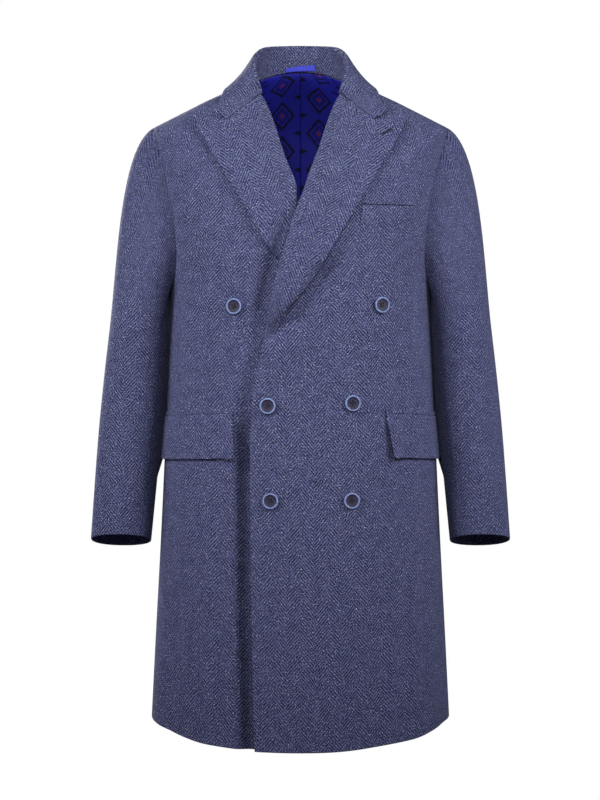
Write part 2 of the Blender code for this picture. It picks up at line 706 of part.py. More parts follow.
jet_bottom = FLAP_TOP_Z + JET_GAP
jet_top = jet_bottom + JET_HEIGHT
for side in ("left", "right"):
    flap = flap_grid(side, FLAP_TOP_Z, FLAP_BOTTOM_Z, 3, 8, FLAP_STAND)
    shell(f"flap_{side}", flap, FLAP_WALL)
    jet = flap_grid(side, jet_top, jet_bottom, 1, 8, 0.0)
    shell(f"jet_{side}", jet, JET_WALL)
shell("breast_welt", welt_grid(2, 4), FLAP_WALL)
shell("hanger_loop", loop_grid(6), LINING_WALL, LOOP, LINING_ROUGHNESS)

for count, row in enumerate(BUTTONS, start=1):
    button(count, **dict(zip(BUTTON_COLUMNS, row)))
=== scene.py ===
"""Looks of the double-breasted herringbone overcoat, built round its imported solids.

Metres, +Z up, the front faces -Y and the wearer's left is +X. A point of the body's cloth has an
angle (0 at centre front, 90 degrees at the wearer's left side, 180 at centre back) and a level
(0 at the hem, 1 at the neck seam). What lies on the cloth is made from its points, moved out.
"""
import math

import bpy
import numpy as np
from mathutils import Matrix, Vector


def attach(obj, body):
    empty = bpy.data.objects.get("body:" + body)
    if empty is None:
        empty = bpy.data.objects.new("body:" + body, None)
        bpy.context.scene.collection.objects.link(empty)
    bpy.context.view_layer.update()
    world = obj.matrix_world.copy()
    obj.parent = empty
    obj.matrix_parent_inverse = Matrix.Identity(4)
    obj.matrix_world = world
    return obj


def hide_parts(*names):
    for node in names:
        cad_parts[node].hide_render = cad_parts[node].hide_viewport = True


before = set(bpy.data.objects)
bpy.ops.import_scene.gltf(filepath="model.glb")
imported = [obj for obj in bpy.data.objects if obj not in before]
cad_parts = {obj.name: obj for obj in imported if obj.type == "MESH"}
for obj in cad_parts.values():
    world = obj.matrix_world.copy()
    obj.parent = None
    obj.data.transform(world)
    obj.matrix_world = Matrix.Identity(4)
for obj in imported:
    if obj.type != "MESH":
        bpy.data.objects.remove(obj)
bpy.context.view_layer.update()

# Camera and studio: a long lens in front of the chest, a white floor and surround, two soft lights
# from the front's left and right, a weaker one above the camera, weak low ones and one behind.
CAMERA_PLACE = (-0.0008, -3.2, -0.379)
CAMERA_TILT = math.radians(90 - 1.98)
camera = bpy.data.objects.new("camera", bpy.data.cameras.new("camera"))
camera.data.lens = 91.1
camera.data.sensor_width = 36.0
camera.location = CAMERA_PLACE
camera.rotation_euler = (CAMERA_TILT, 0, 0)
bpy.context.scene.collection.objects.link(camera)
bpy.context.scene.camera = camera
bpy.context.scene.view_settings.view_transform = "Standard"

LIGHT_COLUMNS = ("name", "place", "aim", "size", "spread", "watts")
LIGHTS = (
    ("front_light", (-0.12, -2.3, 0.50), (0, 0, -0.30), 0.8, 52, 2.8),
    ("front_right_light", (2.05, -1.40, 0.75), (0, 0, -0.28), 0.9, 50, 6.2),
    ("front_left_light", (-2.05, -1.40, 0.75), (0, 0, -0.28), 0.9, 50, 6.2),
    ("right_light", (2.4, -0.6, -0.5), (0, 0, -0.72), 0.7, 32, 0.5),
    ("left_light", (-2.4, -0.6, -0.5), (0, 0, -0.72), 0.7, 32, 0.5),
    ("back_light", (-1.25, 2.1, 0.60), (0, 0, -0.25), 0.9, 60, 11.0),
)
for row in LIGHTS:
    light = dict(zip(LIGHT_COLUMNS, row))
    lamp = bpy.data.lights.new(light["name"], "AREA")
    lamp.size = light["size"]
    lamp.spread = math.radians(light["spread"])
    lamp.energy = light["watts"]
    holder = bpy.data.objects.new(light["name"], lamp)
    holder.location = light["place"]
    aim = Vector(light["aim"]) - Vector(light["place"])
    holder.rotation_euler = aim.to_track_quat("-Z", "Y").to_euler()
    bpy.context.scene.collection.objects.link(holder)
AMBIENT = 0.07


def seen_white(tree, lit_shader, output):
    """White where the camera looks at it straight, and the other shader for the light it gives."""
    seen = tree.nodes.new("ShaderNodeLightPath").outputs["Is Camera Ray"]
    white = tree.nodes.new("ShaderNodeEmission")
    mix = tree.nodes.new("ShaderNodeMixShader")
    tree.links.new(seen, mix.inputs[0])
    tree.links.new(lit_shader.outputs[0], mix.inputs[1])
    tree.links.new(white.outputs[0], mix.inputs[2])
    tree.links.new(mix.outputs[0], output.inputs["Surface"])


world = bpy.data.worlds.new("studio")
world.use_nodes = True
surround = world.node_tree.nodes["Background"]
surround.inputs["Color"].default_value = (1, 1, 1, 1)
surround.inputs["Strength"].default_value = AMBIENT
seen_white(world.node_tree, surround, world.node_tree.nodes["World Output"])
bpy.context.scene.world = world

FLOOR_Z = -1.35
FLOOR_HALF = 30.0
floor_mesh = bpy.data.meshes.new("floor")
floor_mesh.from_pydata([(-FLOOR_HALF, -FLOOR_HALF, FLOOR_Z), (FLOOR_HALF, -FLOOR_HALF, FLOOR_Z),
                        (FLOOR_HALF, FLOOR_HALF, FLOOR_Z), (-FLOOR_HALF, FLOOR_HALF, FLOOR_Z)],
                       [], [(0, 1, 2, 3)])
floor_paint = bpy.data.materials.new("floor_paint")
floor_paint.use_nodes = True
paint = floor_paint.node_tree.nodes["Principled BSDF"]
paint.inputs["Base Color"].default_value = (0.55, 0.55, 0.55, 1)
paint.inputs["Roughness"].default_value = 0.9
seen_white(floor_paint.node_tree, paint, floor_paint.node_tree.nodes["Material Output"])
floor_mesh.materials.append(floor_paint)
floor = bpy.data.objects.new("floor", floor_mesh)
bpy.context.scene.collection.objects.link(floor)

# Fronts: two panels of herringbone wool, cut from the side seam to the front edge, with a
# turned edge and hem. The left front laps over the right, and both are sewn at side and shoulder.
BODY_WALL = 0.0025
LAPEL_WALL = 0.0030
LYING = 0.0008
SQUARENESS = 0.88
SHOULDER_LEVEL = 0.90
SHOULDER_SIDE = (0.85, 0.985)
ARMPIT_LEVEL = 0.68
ARMHOLE_FRONT = math.radians(25)
ARMHOLE_BACK = math.radians(22)
ARMHOLE_ROUNDNESS = 0.55
ARMHOLE_SINK_RAMP = (0.04, 0.26)
ARMHOLE_SINK_END = (0.80, 1.0)
ARMHOLE_TURN_IN = 0.0100
ARMHOLE_TURN_RAMP = (0.0, 0.022)
SIDE = math.pi / 2
BACK = math.pi
RING_COLUMNS = ("level", "half_width", "front", "back", "centre_y", "side_z", "front_z", "back_z")
RINGS = (
    (0.00, 0.2335, 0.160, 0.152, 0.000, -0.990, -1.018, -0.988),
    (0.15, 0.2262, 0.152, 0.147, 0.000, -0.850, -0.862, -0.849),
    (0.30, 0.2185, 0.145, 0.141, 0.000, -0.710, -0.715, -0.710),
    (0.45, 0.2115, 0.140, 0.134, 0.000, -0.565, -0.566, -0.565),
    (0.55, 0.2070, 0.137, 0.126, 0.000, -0.450, -0.450, -0.450),
    (0.65, 0.2025, 0.137, 0.129, 0.000, -0.350, -0.352, -0.350),
    (0.68, 0.2015, 0.137, 0.131, 0.000, -0.320, -0.325, -0.320),
    (0.80, 0.2205, 0.135, 0.131, 0.003, -0.190, -0.248, -0.190),
    (0.90, 0.2285, 0.120, 0.113, 0.006, -0.0625, -0.168, -0.078),
    (0.955, 0.1500, 0.093, 0.091, 0.007, -0.0225, -0.107, -0.015),
    (1.00, 0.0745, 0.060, 0.068, 0.008, 0.0125, -0.060, 0.034),
    (1.05, 0.0725, 0.060, 0.071, 0.008, 0.0340, -0.038, 0.054),
)

# Soft folds: angle, half width, depth (inwards is negative) and the heights between which each
# one grows to its full depth.
FOLD_COLUMNS = ("angle", "width", "depth", "top_z", "full_z")
FOLDS = (
    (math.radians(-36), math.radians(8), 0.0045, -0.50, -0.80),
    (math.radians(-58), math.radians(7), -0.0030, -0.60, -0.95),
    (math.radians(24), math.radians(9), -0.0045, -0.66, -0.98),
    (math.radians(46), math.radians(8), 0.0045, -0.62, -0.98),
    (math.radians(72), math.radians(9), -0.0035, -0.66, -0.98),
    (math.radians(126), math.radians(12), 0.0085, -0.40, -0.92),
    (math.radians(-131), math.radians(13), 0.0080, -0.45, -0.95),
    (math.radians(155), math.radians(11), -0.0075, -0.42, -0.95),
    (math.radians(-152), math.radians(10), -0.0065, -0.48, -0.92),
)
OVER_FRONT_RAMP = (0.020, 0.075)
OVER_LAPEL_RAMP = (0.018, 0.070)
BELOW_V_RAMP = (-0.460, -0.290)
ABOVE_V_RAMP = (-0.160, -0.090)
OVER_LAPEL_SPACE = 0.0040
LAP_TROUGH_COLUMNS = ("z", "depth")
LAP_TROUGH = (
    (-1.020, 0.0175), (-0.600, 0.0170), (-0.545, 0.0150), (-0.500, 0.0060), (-0.440, 0.0045),
    (-0.380, 0.0055), (-0.300, 0.0090), (-0.250, 0.0080), (-0.185, 0.0),
)
LAP_TROUGH_NEAR = (-0.032, -0.008)
LAP_TROUGH_FAR = (0.008, 0.036)
ROLL_SHADE_LINE = ((0.0490, -0.2517), (-0.0394, -0.3728))
ROLL_SHADE_DIP = 0.0120
ROLL_SHADE_AWAY = 0.009
ROLL_SHADE_WIDTH = 0.012
ROLL_SHADE_TOP = (-0.250, -0.295)
ROLL_SHADE_END = (-0.370, -0.415)
EDGE_STAND = 0.0024
EDGE_STAND_RAMP = (0.002, 0.030)
EDGE_COLUMNS = ("z", "reach")
EDGE = (
    (-1.030, 0.0680), (-0.850, 0.0725), (-0.695, 0.0743), (-0.560, 0.0755), (-0.470, 0.0705),
    (-0.400, 0.0600), (-0.345, 0.0485), (-0.273, 0.0317), (-0.206, 0.0109), (-0.169, -0.0030),
    (-0.070, -0.0368), (0.021, -0.0678), (0.060, -0.0811),
)
ROLL_INSET = 0.0042
ROLL_RAMP = (-0.46, -0.40)


def column(table, names, name):
    """One named column of a table."""
    return np.array([row[names.index(name)] for row in table], dtype=float)


def smooth_curve(knots, values, at):
    """A smooth curve through the values, flat only where the values turn."""
    at = np.clip(np.asarray(at, dtype=float), knots[0], knots[-1])
    spans = np.diff(knots)
    rises = np.diff(values) / spans
    slopes = np.empty(len(knots))
    slopes[0] = rises[0]
    slopes[-1] = rises[-1]
    before, after = rises[:-1], rises[1:]
    same = before * after > 0
    mean = 2 * before * after / np.where(same, before + after, 1)
    slopes[1:-1] = np.where(same, mean, 0)
    place = np.clip(np.searchsorted(knots, at, side="right") - 1, 0, len(spans) - 1)
    span = spans[place]
    part = (at - knots[place]) / span
    back = 1 - part
    return (values[place] * (1 + 2 * part) * back ** 2
            + slopes[place] * span * part * back ** 2
            + values[place + 1] * part ** 2 * (3 - 2 * part)
            - slopes[place + 1] * span * part ** 2 * back)


def ease(value, start, end):
    """0 before start and 1 past end, with a soft change between them."""
    part = np.clip((np.asarray(value, dtype=float) - start) / (end - start), 0, 1)
    return part * part * (3 - 2 * part)


RING_LEVELS = column(RINGS, RING_COLUMNS, "level")
RING_VALUES = {name: column(RINGS, RING_COLUMNS, name) for name in RING_COLUMNS[1:]}
EDGE_Z = column(EDGE, EDGE_COLUMNS, "z")
EDGE_REACH = column(EDGE, EDGE_COLUMNS, "reach")
LAP_TROUGH_Z = column(LAP_TROUGH, LAP_TROUGH_COLUMNS, "z")
LAP_TROUGH_DEPTH = column(LAP_TROUGH, LAP_TROUGH_COLUMNS, "depth")


def ring(name, level):
    return smooth_curve(RING_LEVELS, RING_VALUES[name], level)


def cloth(angle, level):
    """Point of the cloth's inside, with its folds."""
    angle, level = np.broadcast_arrays(np.asarray(angle, float), np.asarray(level, float))
    across = np.sin(angle)
    ahead = np.cos(angle)
    forward = ahead > 0
    depth = np.where(forward, ring("front", level), ring("back", level))
    end_z = np.where(forward, ring("front_z", level), ring("back_z", level))
    half = ring("half_width", level)
    side_z = ring("side_z", level)
    straight = np.where(level >= SHOULDER_LEVEL, ease(np.abs(across), *SHOULDER_SIDE), 0)
    half = half + straight * (np.interp(level, RING_LEVELS, RING_VALUES["half_width"]) - half)
    side_z = side_z + straight * (np.interp(level, RING_LEVELS, RING_VALUES["side_z"]) - side_z)
    x = half * np.sign(across) * np.abs(across) ** SQUARENESS
    y = ring("centre_y", level) - depth * np.sign(ahead) * np.abs(ahead) ** SQUARENESS
    z = side_z + (end_z - side_z) * ahead ** 2
    push = np.zeros(angle.shape)
    for row in FOLDS:
        fold = dict(zip(FOLD_COLUMNS, row))
        turn = np.arctan2(np.sin(angle - fold["angle"]), np.cos(angle - fold["angle"]))
        grown = ease(z, fold["top_z"], fold["full_z"])
        push = push + fold["depth"] * np.exp(-(turn / fold["width"]) ** 2) * grown
    return np.stack([x + across * push, y - ahead * push, z], axis=-1)


def normal(angle, level):
    """Direction out of the cloth."""
    step = 0.002
    angle = np.asarray(angle, float)
    level = np.asarray(level, float)
    along = cloth(angle + step, level) - cloth(angle - step, level)
    higher = np.minimum(level + step, RING_LEVELS[-1])
    lower = np.maximum(level - step, 0)
    out = np.cross(along, cloth(angle, higher) - cloth(angle, lower))
    return out / np.linalg.norm(out, axis=-1, keepdims=True)


def lifted(angle, level, lift):
    return cloth(angle, level) + normal(angle, level) * np.asarray(lift)[..., None]


def reach(z):
    return smooth_curve(EDGE_Z, EDGE_REACH, z)


def roll_shade(x, z):
    """The dip of the left front beside the lower end of its lapel, where the lapel rolls off it."""
    (first_x, first_z), (last_x, last_z) = ROLL_SHADE_LINE
    length = math.hypot(last_x - first_x, last_z - first_z)
    away = ((x - first_x) * (first_z - last_z) - (z - first_z) * (first_x - last_x)) / length
    dip = np.exp(-((away - ROLL_SHADE_AWAY) / ROLL_SHADE_WIDTH) ** 2)
    return ROLL_SHADE_DIP * dip * ease(z, *ROLL_SHADE_TOP) * (1 - ease(z, *ROLL_SHADE_END))


def front_lift(front, point):
    """How far a front stands off the body: the left one over the right front and lapel, and the
    right one sunk in a soft trough beside and under the left one's edge."""
    x, z = point[..., 0], point[..., 2]
    past = reach(z)
    if front == "right":
        sunk = ease(x + past, *LAP_TROUGH_NEAR) * (1 - ease(x + past, *LAP_TROUGH_FAR))
        return -sunk * smooth_curve(LAP_TROUGH_Z, LAP_TROUGH_DEPTH, z)
    over_front = (BODY_WALL + LYING) * (1 - ease(x - past, *OVER_FRONT_RAMP))
    beside_v = ease(z, *BELOW_V_RAMP) * (1 - ease(z, *ABOVE_V_RAMP))
    beside_lapel = beside_v * (1 - ease(x + past, *OVER_LAPEL_RAMP))
    near_edge = (1 - ease(x + past, *EDGE_STAND_RAMP)) * (1 - ease(z, *ROLL_RAMP))
    return (over_front + EDGE_STAND * near_edge + (LAPEL_WALL + OVER_LAPEL_SPACE) * beside_lapel
            - roll_shade(x, z))


def armhole_turn(level):
    """0 at the top and bottom of the armhole, 1 where it cuts deepest into a panel."""
    part = np.clip((np.asarray(level, float) - ARMPIT_LEVEL) / (SHOULDER_LEVEL - ARMPIT_LEVEL), 0, 1)
    return np.sin(np.pi * part) ** ARMHOLE_ROUNDNESS


def edge_shares(count, length, start=True, end=True):
    """Even shares of a width, with close ones at its ends for a rounded edge."""
    shares = np.linspace(0, 1, count + 1)
    close = np.array([0.00045, 0.0011, 0.0020, 0.0032]) / length
    extra = ([close] if start else []) + ([1 - close] if end else [])
    apart = 0.0045 / length
    between = (shares > apart) & (shares < 1 - apart)
    keep = shares[(shares == 0) | (shares == 1) | between]
    return np.unique(np.concatenate([keep, *extra]))


def body_levels(count_skirt, count_armhole, count_shoulder):
    """Levels of a panel's rows, closer together at the hem, at the neck and where the armhole turns."""
    skirt = ARMPIT_LEVEL * edge_shares(count_skirt, 0.70, end=False)
    part = (1 - np.cos(np.linspace(0, np.pi, count_armhole + 1))) / 2
    armhole = ARMPIT_LEVEL + (SHOULDER_LEVEL - ARMPIT_LEVEL) * part
    shoulder = SHOULDER_LEVEL + (1 - SHOULDER_LEVEL) * edge_shares(count_shoulder, 0.16, start=False)
    return np.concatenate([skirt, armhole[1:], shoulder[1:]])


def front_inner_angle(front, levels):
    """Angle of a front's edge or roll line at each level."""
    sign = 1 if front == "right" else -1
    low = np.full(len(levels), -SIDE)
    high = np.full(len(levels), SIDE)
    for _ in range(40):
        middle = (low + high) / 2
        point = cloth(middle, levels)
        edge = reach(point[:, 2]) - ROLL_INSET * ease(point[:, 2], *ROLL_RAMP)
        beyond = point[:, 0] > sign * edge
        high = np.where(beyond, middle, high)
        low = np.where(beyond, low, middle)
    return (low + high) / 2


def armhole_sunk(level):
    """Share of its full depth that the armhole's groove has at each level."""
    drop = (SHOULDER_LEVEL - level) / (SHOULDER_LEVEL - ARMPIT_LEVEL)
    return ease(drop, *ARMHOLE_SINK_RAMP) * (1 - ease(drop, *ARMHOLE_SINK_END))


def front_grid(front, columns, levels):
    inner = front_inner_angle(front, levels)
    outer = SIDE - ARMHOLE_FRONT * armhole_turn(levels)
    share = edge_shares(columns, 0.33)
    low, high = (inner, outer) if front == "left" else (-outer, inner)
    angle = low[:, None] + (high - low)[:, None] * share[None, :]
    level = np.repeat(levels[:, None], len(share), axis=1)
    from_armhole = (outer[:, None] - np.abs(angle)) * ring("half_width", level)
    turned_in = ARMHOLE_TURN_IN * (1 - ease(from_armhole, *ARMHOLE_TURN_RAMP)) * armhole_sunk(level)
    lift = front_lift(front, cloth(angle, level)) - turned_in
    return lifted(angle, level, lift), front_weave(angle, level)


WEAVE_ANGLES = np.linspace(-SIDE, SIDE, 241)
WEAVE_LEVELS = np.linspace(0, RING_LEVELS[-1], 211)
weave_points = cloth(WEAVE_ANGLES[None, :], WEAVE_LEVELS[:, None])
around_steps = np.linalg.norm(np.diff(weave_points, axis=1), axis=-1)
WEAVE_AROUND = np.insert(np.cumsum(around_steps, axis=1), 0, 0, axis=1)
WEAVE_AROUND -= WEAVE_AROUND[:, len(WEAVE_ANGLES) // 2, None]
up_steps = np.linalg.norm(np.diff(weave_points[..., 1:], axis=0), axis=-1)
WEAVE_UP = np.insert(np.cumsum(up_steps, axis=0), 0, 0, axis=0)


def front_weave(angle, level):
    """Place in the fronts' cloth: distance from centre front, and height above the hem."""
    at_angle = (angle + SIDE) / (2 * SIDE) * (len(WEAVE_ANGLES) - 1)
    at_level = level / RING_LEVELS[-1] * (len(WEAVE_LEVELS) - 1)
    col = np.clip(at_angle.astype(int), 0, len(WEAVE_ANGLES) - 2)
    row = np.clip(at_level.astype(int), 0, len(WEAVE_LEVELS) - 2)
    over = at_angle - col
    above = at_level - row
    both = []
    for table in (WEAVE_AROUND, WEAVE_UP):
        low = table[row, col] * (1 - over) + table[row, col + 1] * over
        high = table[row + 1, col] * (1 - over) + table[row + 1, col + 1] * over
        both.append(low * (1 - above) + high * above)
    return np.stack(both, axis=-1)


def grid_normals(grid):
    out = np.cross(np.gradient(grid, axis=1), np.gradient(grid, axis=0))
    return out / np.maximum(np.linalg.norm(out, axis=-1, keepdims=True), 1e-12)


def run(grid, axis):
    """Distance along the rows (axis 0) or the columns (axis 1) of a grid."""
    steps = np.linalg.norm(np.diff(grid, axis=axis), axis=-1)
    return np.insert(np.cumsum(steps, axis=axis), 0, 0, axis=axis)


def edge_round(grid, radius):
    """1 away from the grid's border, and down to a quarter round at the border."""
    down = run(grid, 0)
    over = run(grid, 1)
    nearest = np.minimum(np.minimum(down, down[-1:] - down), np.minimum(over, over[:, -1:] - over))
    part = np.clip(nearest / radius, 0, 1)
    return 0.18 + 0.82 * np.sqrt(part * (2 - part))


def cloth_piece(name, grid, wall, material, weave, inside=None):
    """A closed cloth shell with rounded edges, on the outside of a grid of points.

    weave gives each point's place in the woven cloth in metres, for the pattern. inside is a
    material for the inner faces and a mask of the grid's points that it covers.
    """
    rows, columns = grid.shape[:2]
    out = grid_normals(grid)
    half = edge_round(grid, 0.8 * wall)[..., None] * wall / 2
    middle = grid + out * wall / 2
    count = rows * columns
    points = np.concatenate([(middle + out * half).reshape(-1, 3), (middle - out * half).reshape(-1, 3)])
    index = np.arange(count).reshape(rows, columns)
    quads = np.stack([index[:-1, :-1], index[:-1, 1:], index[1:, 1:], index[1:, :-1]], axis=-1).reshape(-1, 4)
    border = np.concatenate([index[0], index[1:, -1], index[-1, -2::-1], index[-2:0:-1, 0]])
    after = np.roll(border, -1)
    rim = np.stack([after, border, border + count, after + count], axis=-1)
    faces = np.concatenate([quads, quads[:, ::-1] + count, rim])
    mesh = bpy.data.meshes.new(name)
    mesh.from_pydata(points.tolist(), [], faces.tolist())
    mesh.shade_smooth()
    layer = mesh.uv_layers.new(name="cloth")
    corners = np.empty(len(mesh.loops), dtype=np.int32)
    mesh.loops.foreach_get("vertex_index", corners)
    flat = np.concatenate([weave.reshape(-1, 2)] * 2)
    layer.data.foreach_set("uv", flat[corners].astype(np.float32).ravel())
    mesh.materials.append(material)
    if inside is not None:
        mesh.materials.append(inside[0])
        covered = inside[1].ravel()[quads].all(axis=1)
        slots = np.concatenate([np.zeros(len(quads)), covered, np.zeros(len(rim))]).astype(np.int32)
        mesh.polygons.foreach_set("material_index", slots)
    mesh.update()
    piece = bpy.data.objects.new(name, mesh)
    bpy.context.scene.collection.objects.link(piece)
    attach(piece, "root")
    return piece


def add_node(tree, kind, values=(), **settings):
    """A shader node with its settings, and its inputs set to numbers or linked to outputs."""
    made = tree.nodes.new(kind)
    for name, value in settings.items():
        setattr(made, name, value)
    for socket, value in dict(values).items():
        if isinstance(value, bpy.types.NodeSocket):
            tree.links.new(value, made.inputs[socket])
        else:
            made.inputs[socket].default_value = value
    return made


def math_node(tree, operation, first, second=0.0, third=0.0):
    made = add_node(tree, "ShaderNodeMath", {0: first, 1: second, 2: third}, operation=operation)
    return made.outputs[0]


def start_group(name, inputs, outputs):
    """An empty shader node group, with its input and output nodes."""
    group = bpy.data.node_groups.new(name, "ShaderNodeTree")
    for socket, kind, value in inputs:
        made = group.interface.new_socket(socket, in_out="INPUT", socket_type=kind)
        if value is not None:
            made.default_value = value
    for socket, kind in outputs:
        group.interface.new_socket(socket, in_out="OUTPUT", socket_type=kind)
    return group, group.nodes.new("NodeGroupInput").outputs, group.nodes.new("NodeGroupOutput").inputs


NUMBER, VECTOR, COLOUR = "NodeSocketFloat", "NodeSocketVector", "NodeSocketColor"


def herringbone_group():
    """Twill lines that rise and fall in columns, broken by half a line where they turn."""
    group, given, result = start_group(
        "herringbone",
        [("Cloth", VECTOR, None), ("Column", NUMBER, 0.0204), ("Pitch", NUMBER, 0.0058),
         ("Slope", NUMBER, 1.19), ("Dark", COLOUR, (0, 0, 0, 1)), ("Light", COLOUR, (1, 1, 1, 1)),
         ("Fleck", COLOUR, (1, 1, 1, 1))],
        [("Color", COLOUR), ("Height", NUMBER)])
    place = add_node(group, "ShaderNodeSeparateXYZ", {0: given["Cloth"]}).outputs
    wander = add_node(group, "ShaderNodeTexNoise", {"Vector": given["Cloth"], "Scale": 190.0, "Detail": 2.0})
    strand = math_node(group, "DIVIDE", place["X"], given["Column"])
    turned = math_node(group, "PINGPONG", strand, 1.0)
    climb = math_node(group, "MULTIPLY", turned, given["Column"])
    climb = math_node(group, "MULTIPLY", climb, given["Slope"])
    odd = math_node(group, "FLOORED_MODULO", math_node(group, "FLOOR", strand), 2.0)
    line = math_node(group, "DIVIDE", math_node(group, "ADD", place["Y"], climb), given["Pitch"])
    line = math_node(group, "MULTIPLY_ADD", odd, 0.5, line)
    line = math_node(group, "MULTIPLY_ADD", wander.outputs["Fac"], 0.55, line)
    wave = math_node(group, "PINGPONG", math_node(group, "MULTIPLY", line, 2.0), 1.0)
    rib = add_node(group, "ShaderNodeMapRange", {"Value": wave, "From Min": 0.25, "From Max": 0.75},
                   interpolation_type="SMOOTHSTEP").outputs[0]
    fibre = add_node(group, "ShaderNodeTexNoise", {"Vector": given["Cloth"], "Scale": 560.0, "Detail": 3.0})
    lint = add_node(group, "ShaderNodeTexNoise", {"Vector": given["Cloth"], "Scale": 470.0, "Detail": 1.0})
    fleck = add_node(group, "ShaderNodeMapRange", {"Value": lint.outputs["Fac"], "From Min": 0.61,
                                                   "From Max": 0.74, "To Max": 0.80}).outputs[0]
    patch = add_node(group, "ShaderNodeTexNoise", {"Vector": given["Cloth"], "Scale": 60.0, "Detail": 2.0})
    clump = add_node(group, "ShaderNodeTexNoise", {"Vector": given["Cloth"], "Scale": 330.0, "Detail": 2.0})
    shown = add_node(group, "ShaderNodeMapRange",
                     {"Value": clump.outputs["Fac"], "From Min": 0.32, "From Max": 0.68,
                      "To Min": 0.30, "To Max": 1.00}).outputs[0]
    speck = math_node(group, "MULTIPLY_ADD", fibre.outputs["Fac"], 2.6, -1.3)
    broken = math_node(group, "MULTIPLY_ADD", patch.outputs["Fac"], 0.5, -0.25)
    tone = math_node(group, "MULTIPLY_ADD", math_node(group, "SUBTRACT", rib, 0.5), shown, 0.38)
    tone = math_node(group, "ADD", math_node(group, "ADD", tone, speck), broken)
    tone = add_node(group, "ShaderNodeClamp", {0: tone}).outputs[0]
    mixed = add_node(group, "ShaderNodeMix", {0: tone, 6: given["Dark"], 7: given["Light"]}, data_type="RGBA")
    flecked = add_node(group, "ShaderNodeMix", {0: fleck, 6: mixed.outputs[2], 7: given["Fleck"]},
                       data_type="RGBA")
    group.links.new(flecked.outputs[2], result["Color"])
    height = math_node(group, "MULTIPLY_ADD", speck, 0.6, rib)
    group.links.new(height, result["Height"])
    return group


HERRINGBONE = herringbone_group()
WOOL_DARK = (0.0085, 0.0095, 0.0330, 1)
WOOL_LIGHT = (0.101, 0.112, 0.236, 1)
WOOL_FLECK = (0.380, 0.390, 0.520, 1)


def wool_material(name, dark, light, fleck):
    """Brushed wool in a herringbone weave, with a soft nap."""
    material = bpy.data.materials.new(name)
    material.use_nodes = True
    tree = material.node_tree
    shader = tree.nodes["Principled BSDF"]
    place = add_node(tree, "ShaderNodeUVMap", uv_map="cloth").outputs["UV"]
    weave = add_node(tree, "ShaderNodeGroup", node_tree=HERRINGBONE)
    tree.links.new(place, weave.inputs["Cloth"])
    weave.inputs["Dark"].default_value = dark
    weave.inputs["Light"].default_value = light
    weave.inputs["Fleck"].default_value = fleck
    bump = add_node(tree, "ShaderNodeBump", {"Height": weave.outputs["Height"], "Strength": 0.35,
                                             "Distance": 0.0006})
    tree.links.new(weave.outputs["Color"], shader.inputs["Base Color"])
    tree.links.new(bump.outputs["Normal"], shader.inputs["Normal"])
    shader.inputs["Roughness"].default_value = 0.92
    shader.inputs["Specular IOR Level"].default_value = 0.12
    shader.inputs["Sheen Weight"].default_value = 0.05
    shader.inputs["Sheen Roughness"].default_value = 0.45
    shader.inputs["Sheen Tint"].default_value = (0.55, 0.58, 0.80, 1)
    return material


wool = wool_material("herringbone_wool", WOOL_DARK, WOOL_LIGHT, WOOL_FLECK)
LINING_BLUE = (0.012, 0.013, 0.250, 1)
PRINT_DARK = (0.006, 0.004, 0.020, 1)
PRINT_RED = (0.170, 0.014, 0.010, 1)


def figure_group():
    """A half-drop print: outlined lozenges with a red seed, and small dark bars between them."""
    group, given, result = start_group(
        "printed_figure",
        [("Cloth", VECTOR, None), ("Repeat", NUMBER, 0.060), ("Ground", COLOUR, (0, 0, 1, 1)),
         ("Dark", COLOUR, (0, 0, 0, 1)), ("Seed", COLOUR, (1, 0, 0, 1))],
        [("Color", COLOUR), ("Ink", NUMBER)])
    shake = add_node(group, "ShaderNodeTexNoise", {"Vector": given["Cloth"], "Scale": 260.0, "Detail": 1.0})
    place = add_node(group, "ShaderNodeSeparateXYZ", {0: given["Cloth"]}).outputs
    over = math_node(group, "DIVIDE", place["X"], given["Repeat"])
    odd = math_node(group, "FLOORED_MODULO", math_node(group, "FLOOR", over), 2.0)
    dropped = math_node(group, "MULTIPLY", odd, 0.5)
    up = math_node(group, "ADD", math_node(group, "DIVIDE", place["Y"], given["Repeat"]), dropped)

    def from_middle(value, shift):
        moved = math_node(group, "FRACT", math_node(group, "ADD", value, shift))
        return math_node(group, "ABSOLUTE", math_node(group, "SUBTRACT", moved, 0.5))

    def below(value, limit, soft):
        ramp = add_node(group, "ShaderNodeMapRange",
                        {"Value": value, "From Min": limit - soft, "From Max": limit + soft,
                         "To Min": 1.0, "To Max": 0.0}, interpolation_type="SMOOTHSTEP")
        return ramp.outputs[0]

    wavy = math_node(group, "MULTIPLY_ADD", shake.outputs["Fac"], 0.08, -0.04)
    upright = math_node(group, "MULTIPLY", from_middle(up, 0.0), 0.8)
    lozenge = math_node(group, "ADD", from_middle(over, 0.0), upright)
    lozenge = math_node(group, "ADD", lozenge, wavy)
    outline = below(math_node(group, "ABSOLUTE", math_node(group, "SUBTRACT", lozenge, 0.31)), 0.040, 0.010)
    inner = below(math_node(group, "ABSOLUTE", math_node(group, "SUBTRACT", lozenge, 0.16)), 0.022, 0.008)
    seed = below(lozenge, 0.055, 0.010)
    bar = math_node(group, "MULTIPLY_ADD", from_middle(up, 0.5), 2.6, from_middle(over, 0.5))
    bars = below(math_node(group, "ADD", bar, wavy), 0.20, 0.02)
    dark = math_node(group, "MAXIMUM", math_node(group, "MAXIMUM", outline, inner), bars)
    printed = add_node(group, "ShaderNodeMix", {0: dark, 6: given["Ground"], 7: given["Dark"]},
                       data_type="RGBA")
    seeded = add_node(group, "ShaderNodeMix", {0: seed, 6: printed.outputs[2], 7: given["Seed"]},
                      data_type="RGBA")
    group.links.new(seeded.outputs[2], result["Color"])
    group.links.new(dark, result["Ink"])
    return group


PRINTED_FIGURE = figure_group()


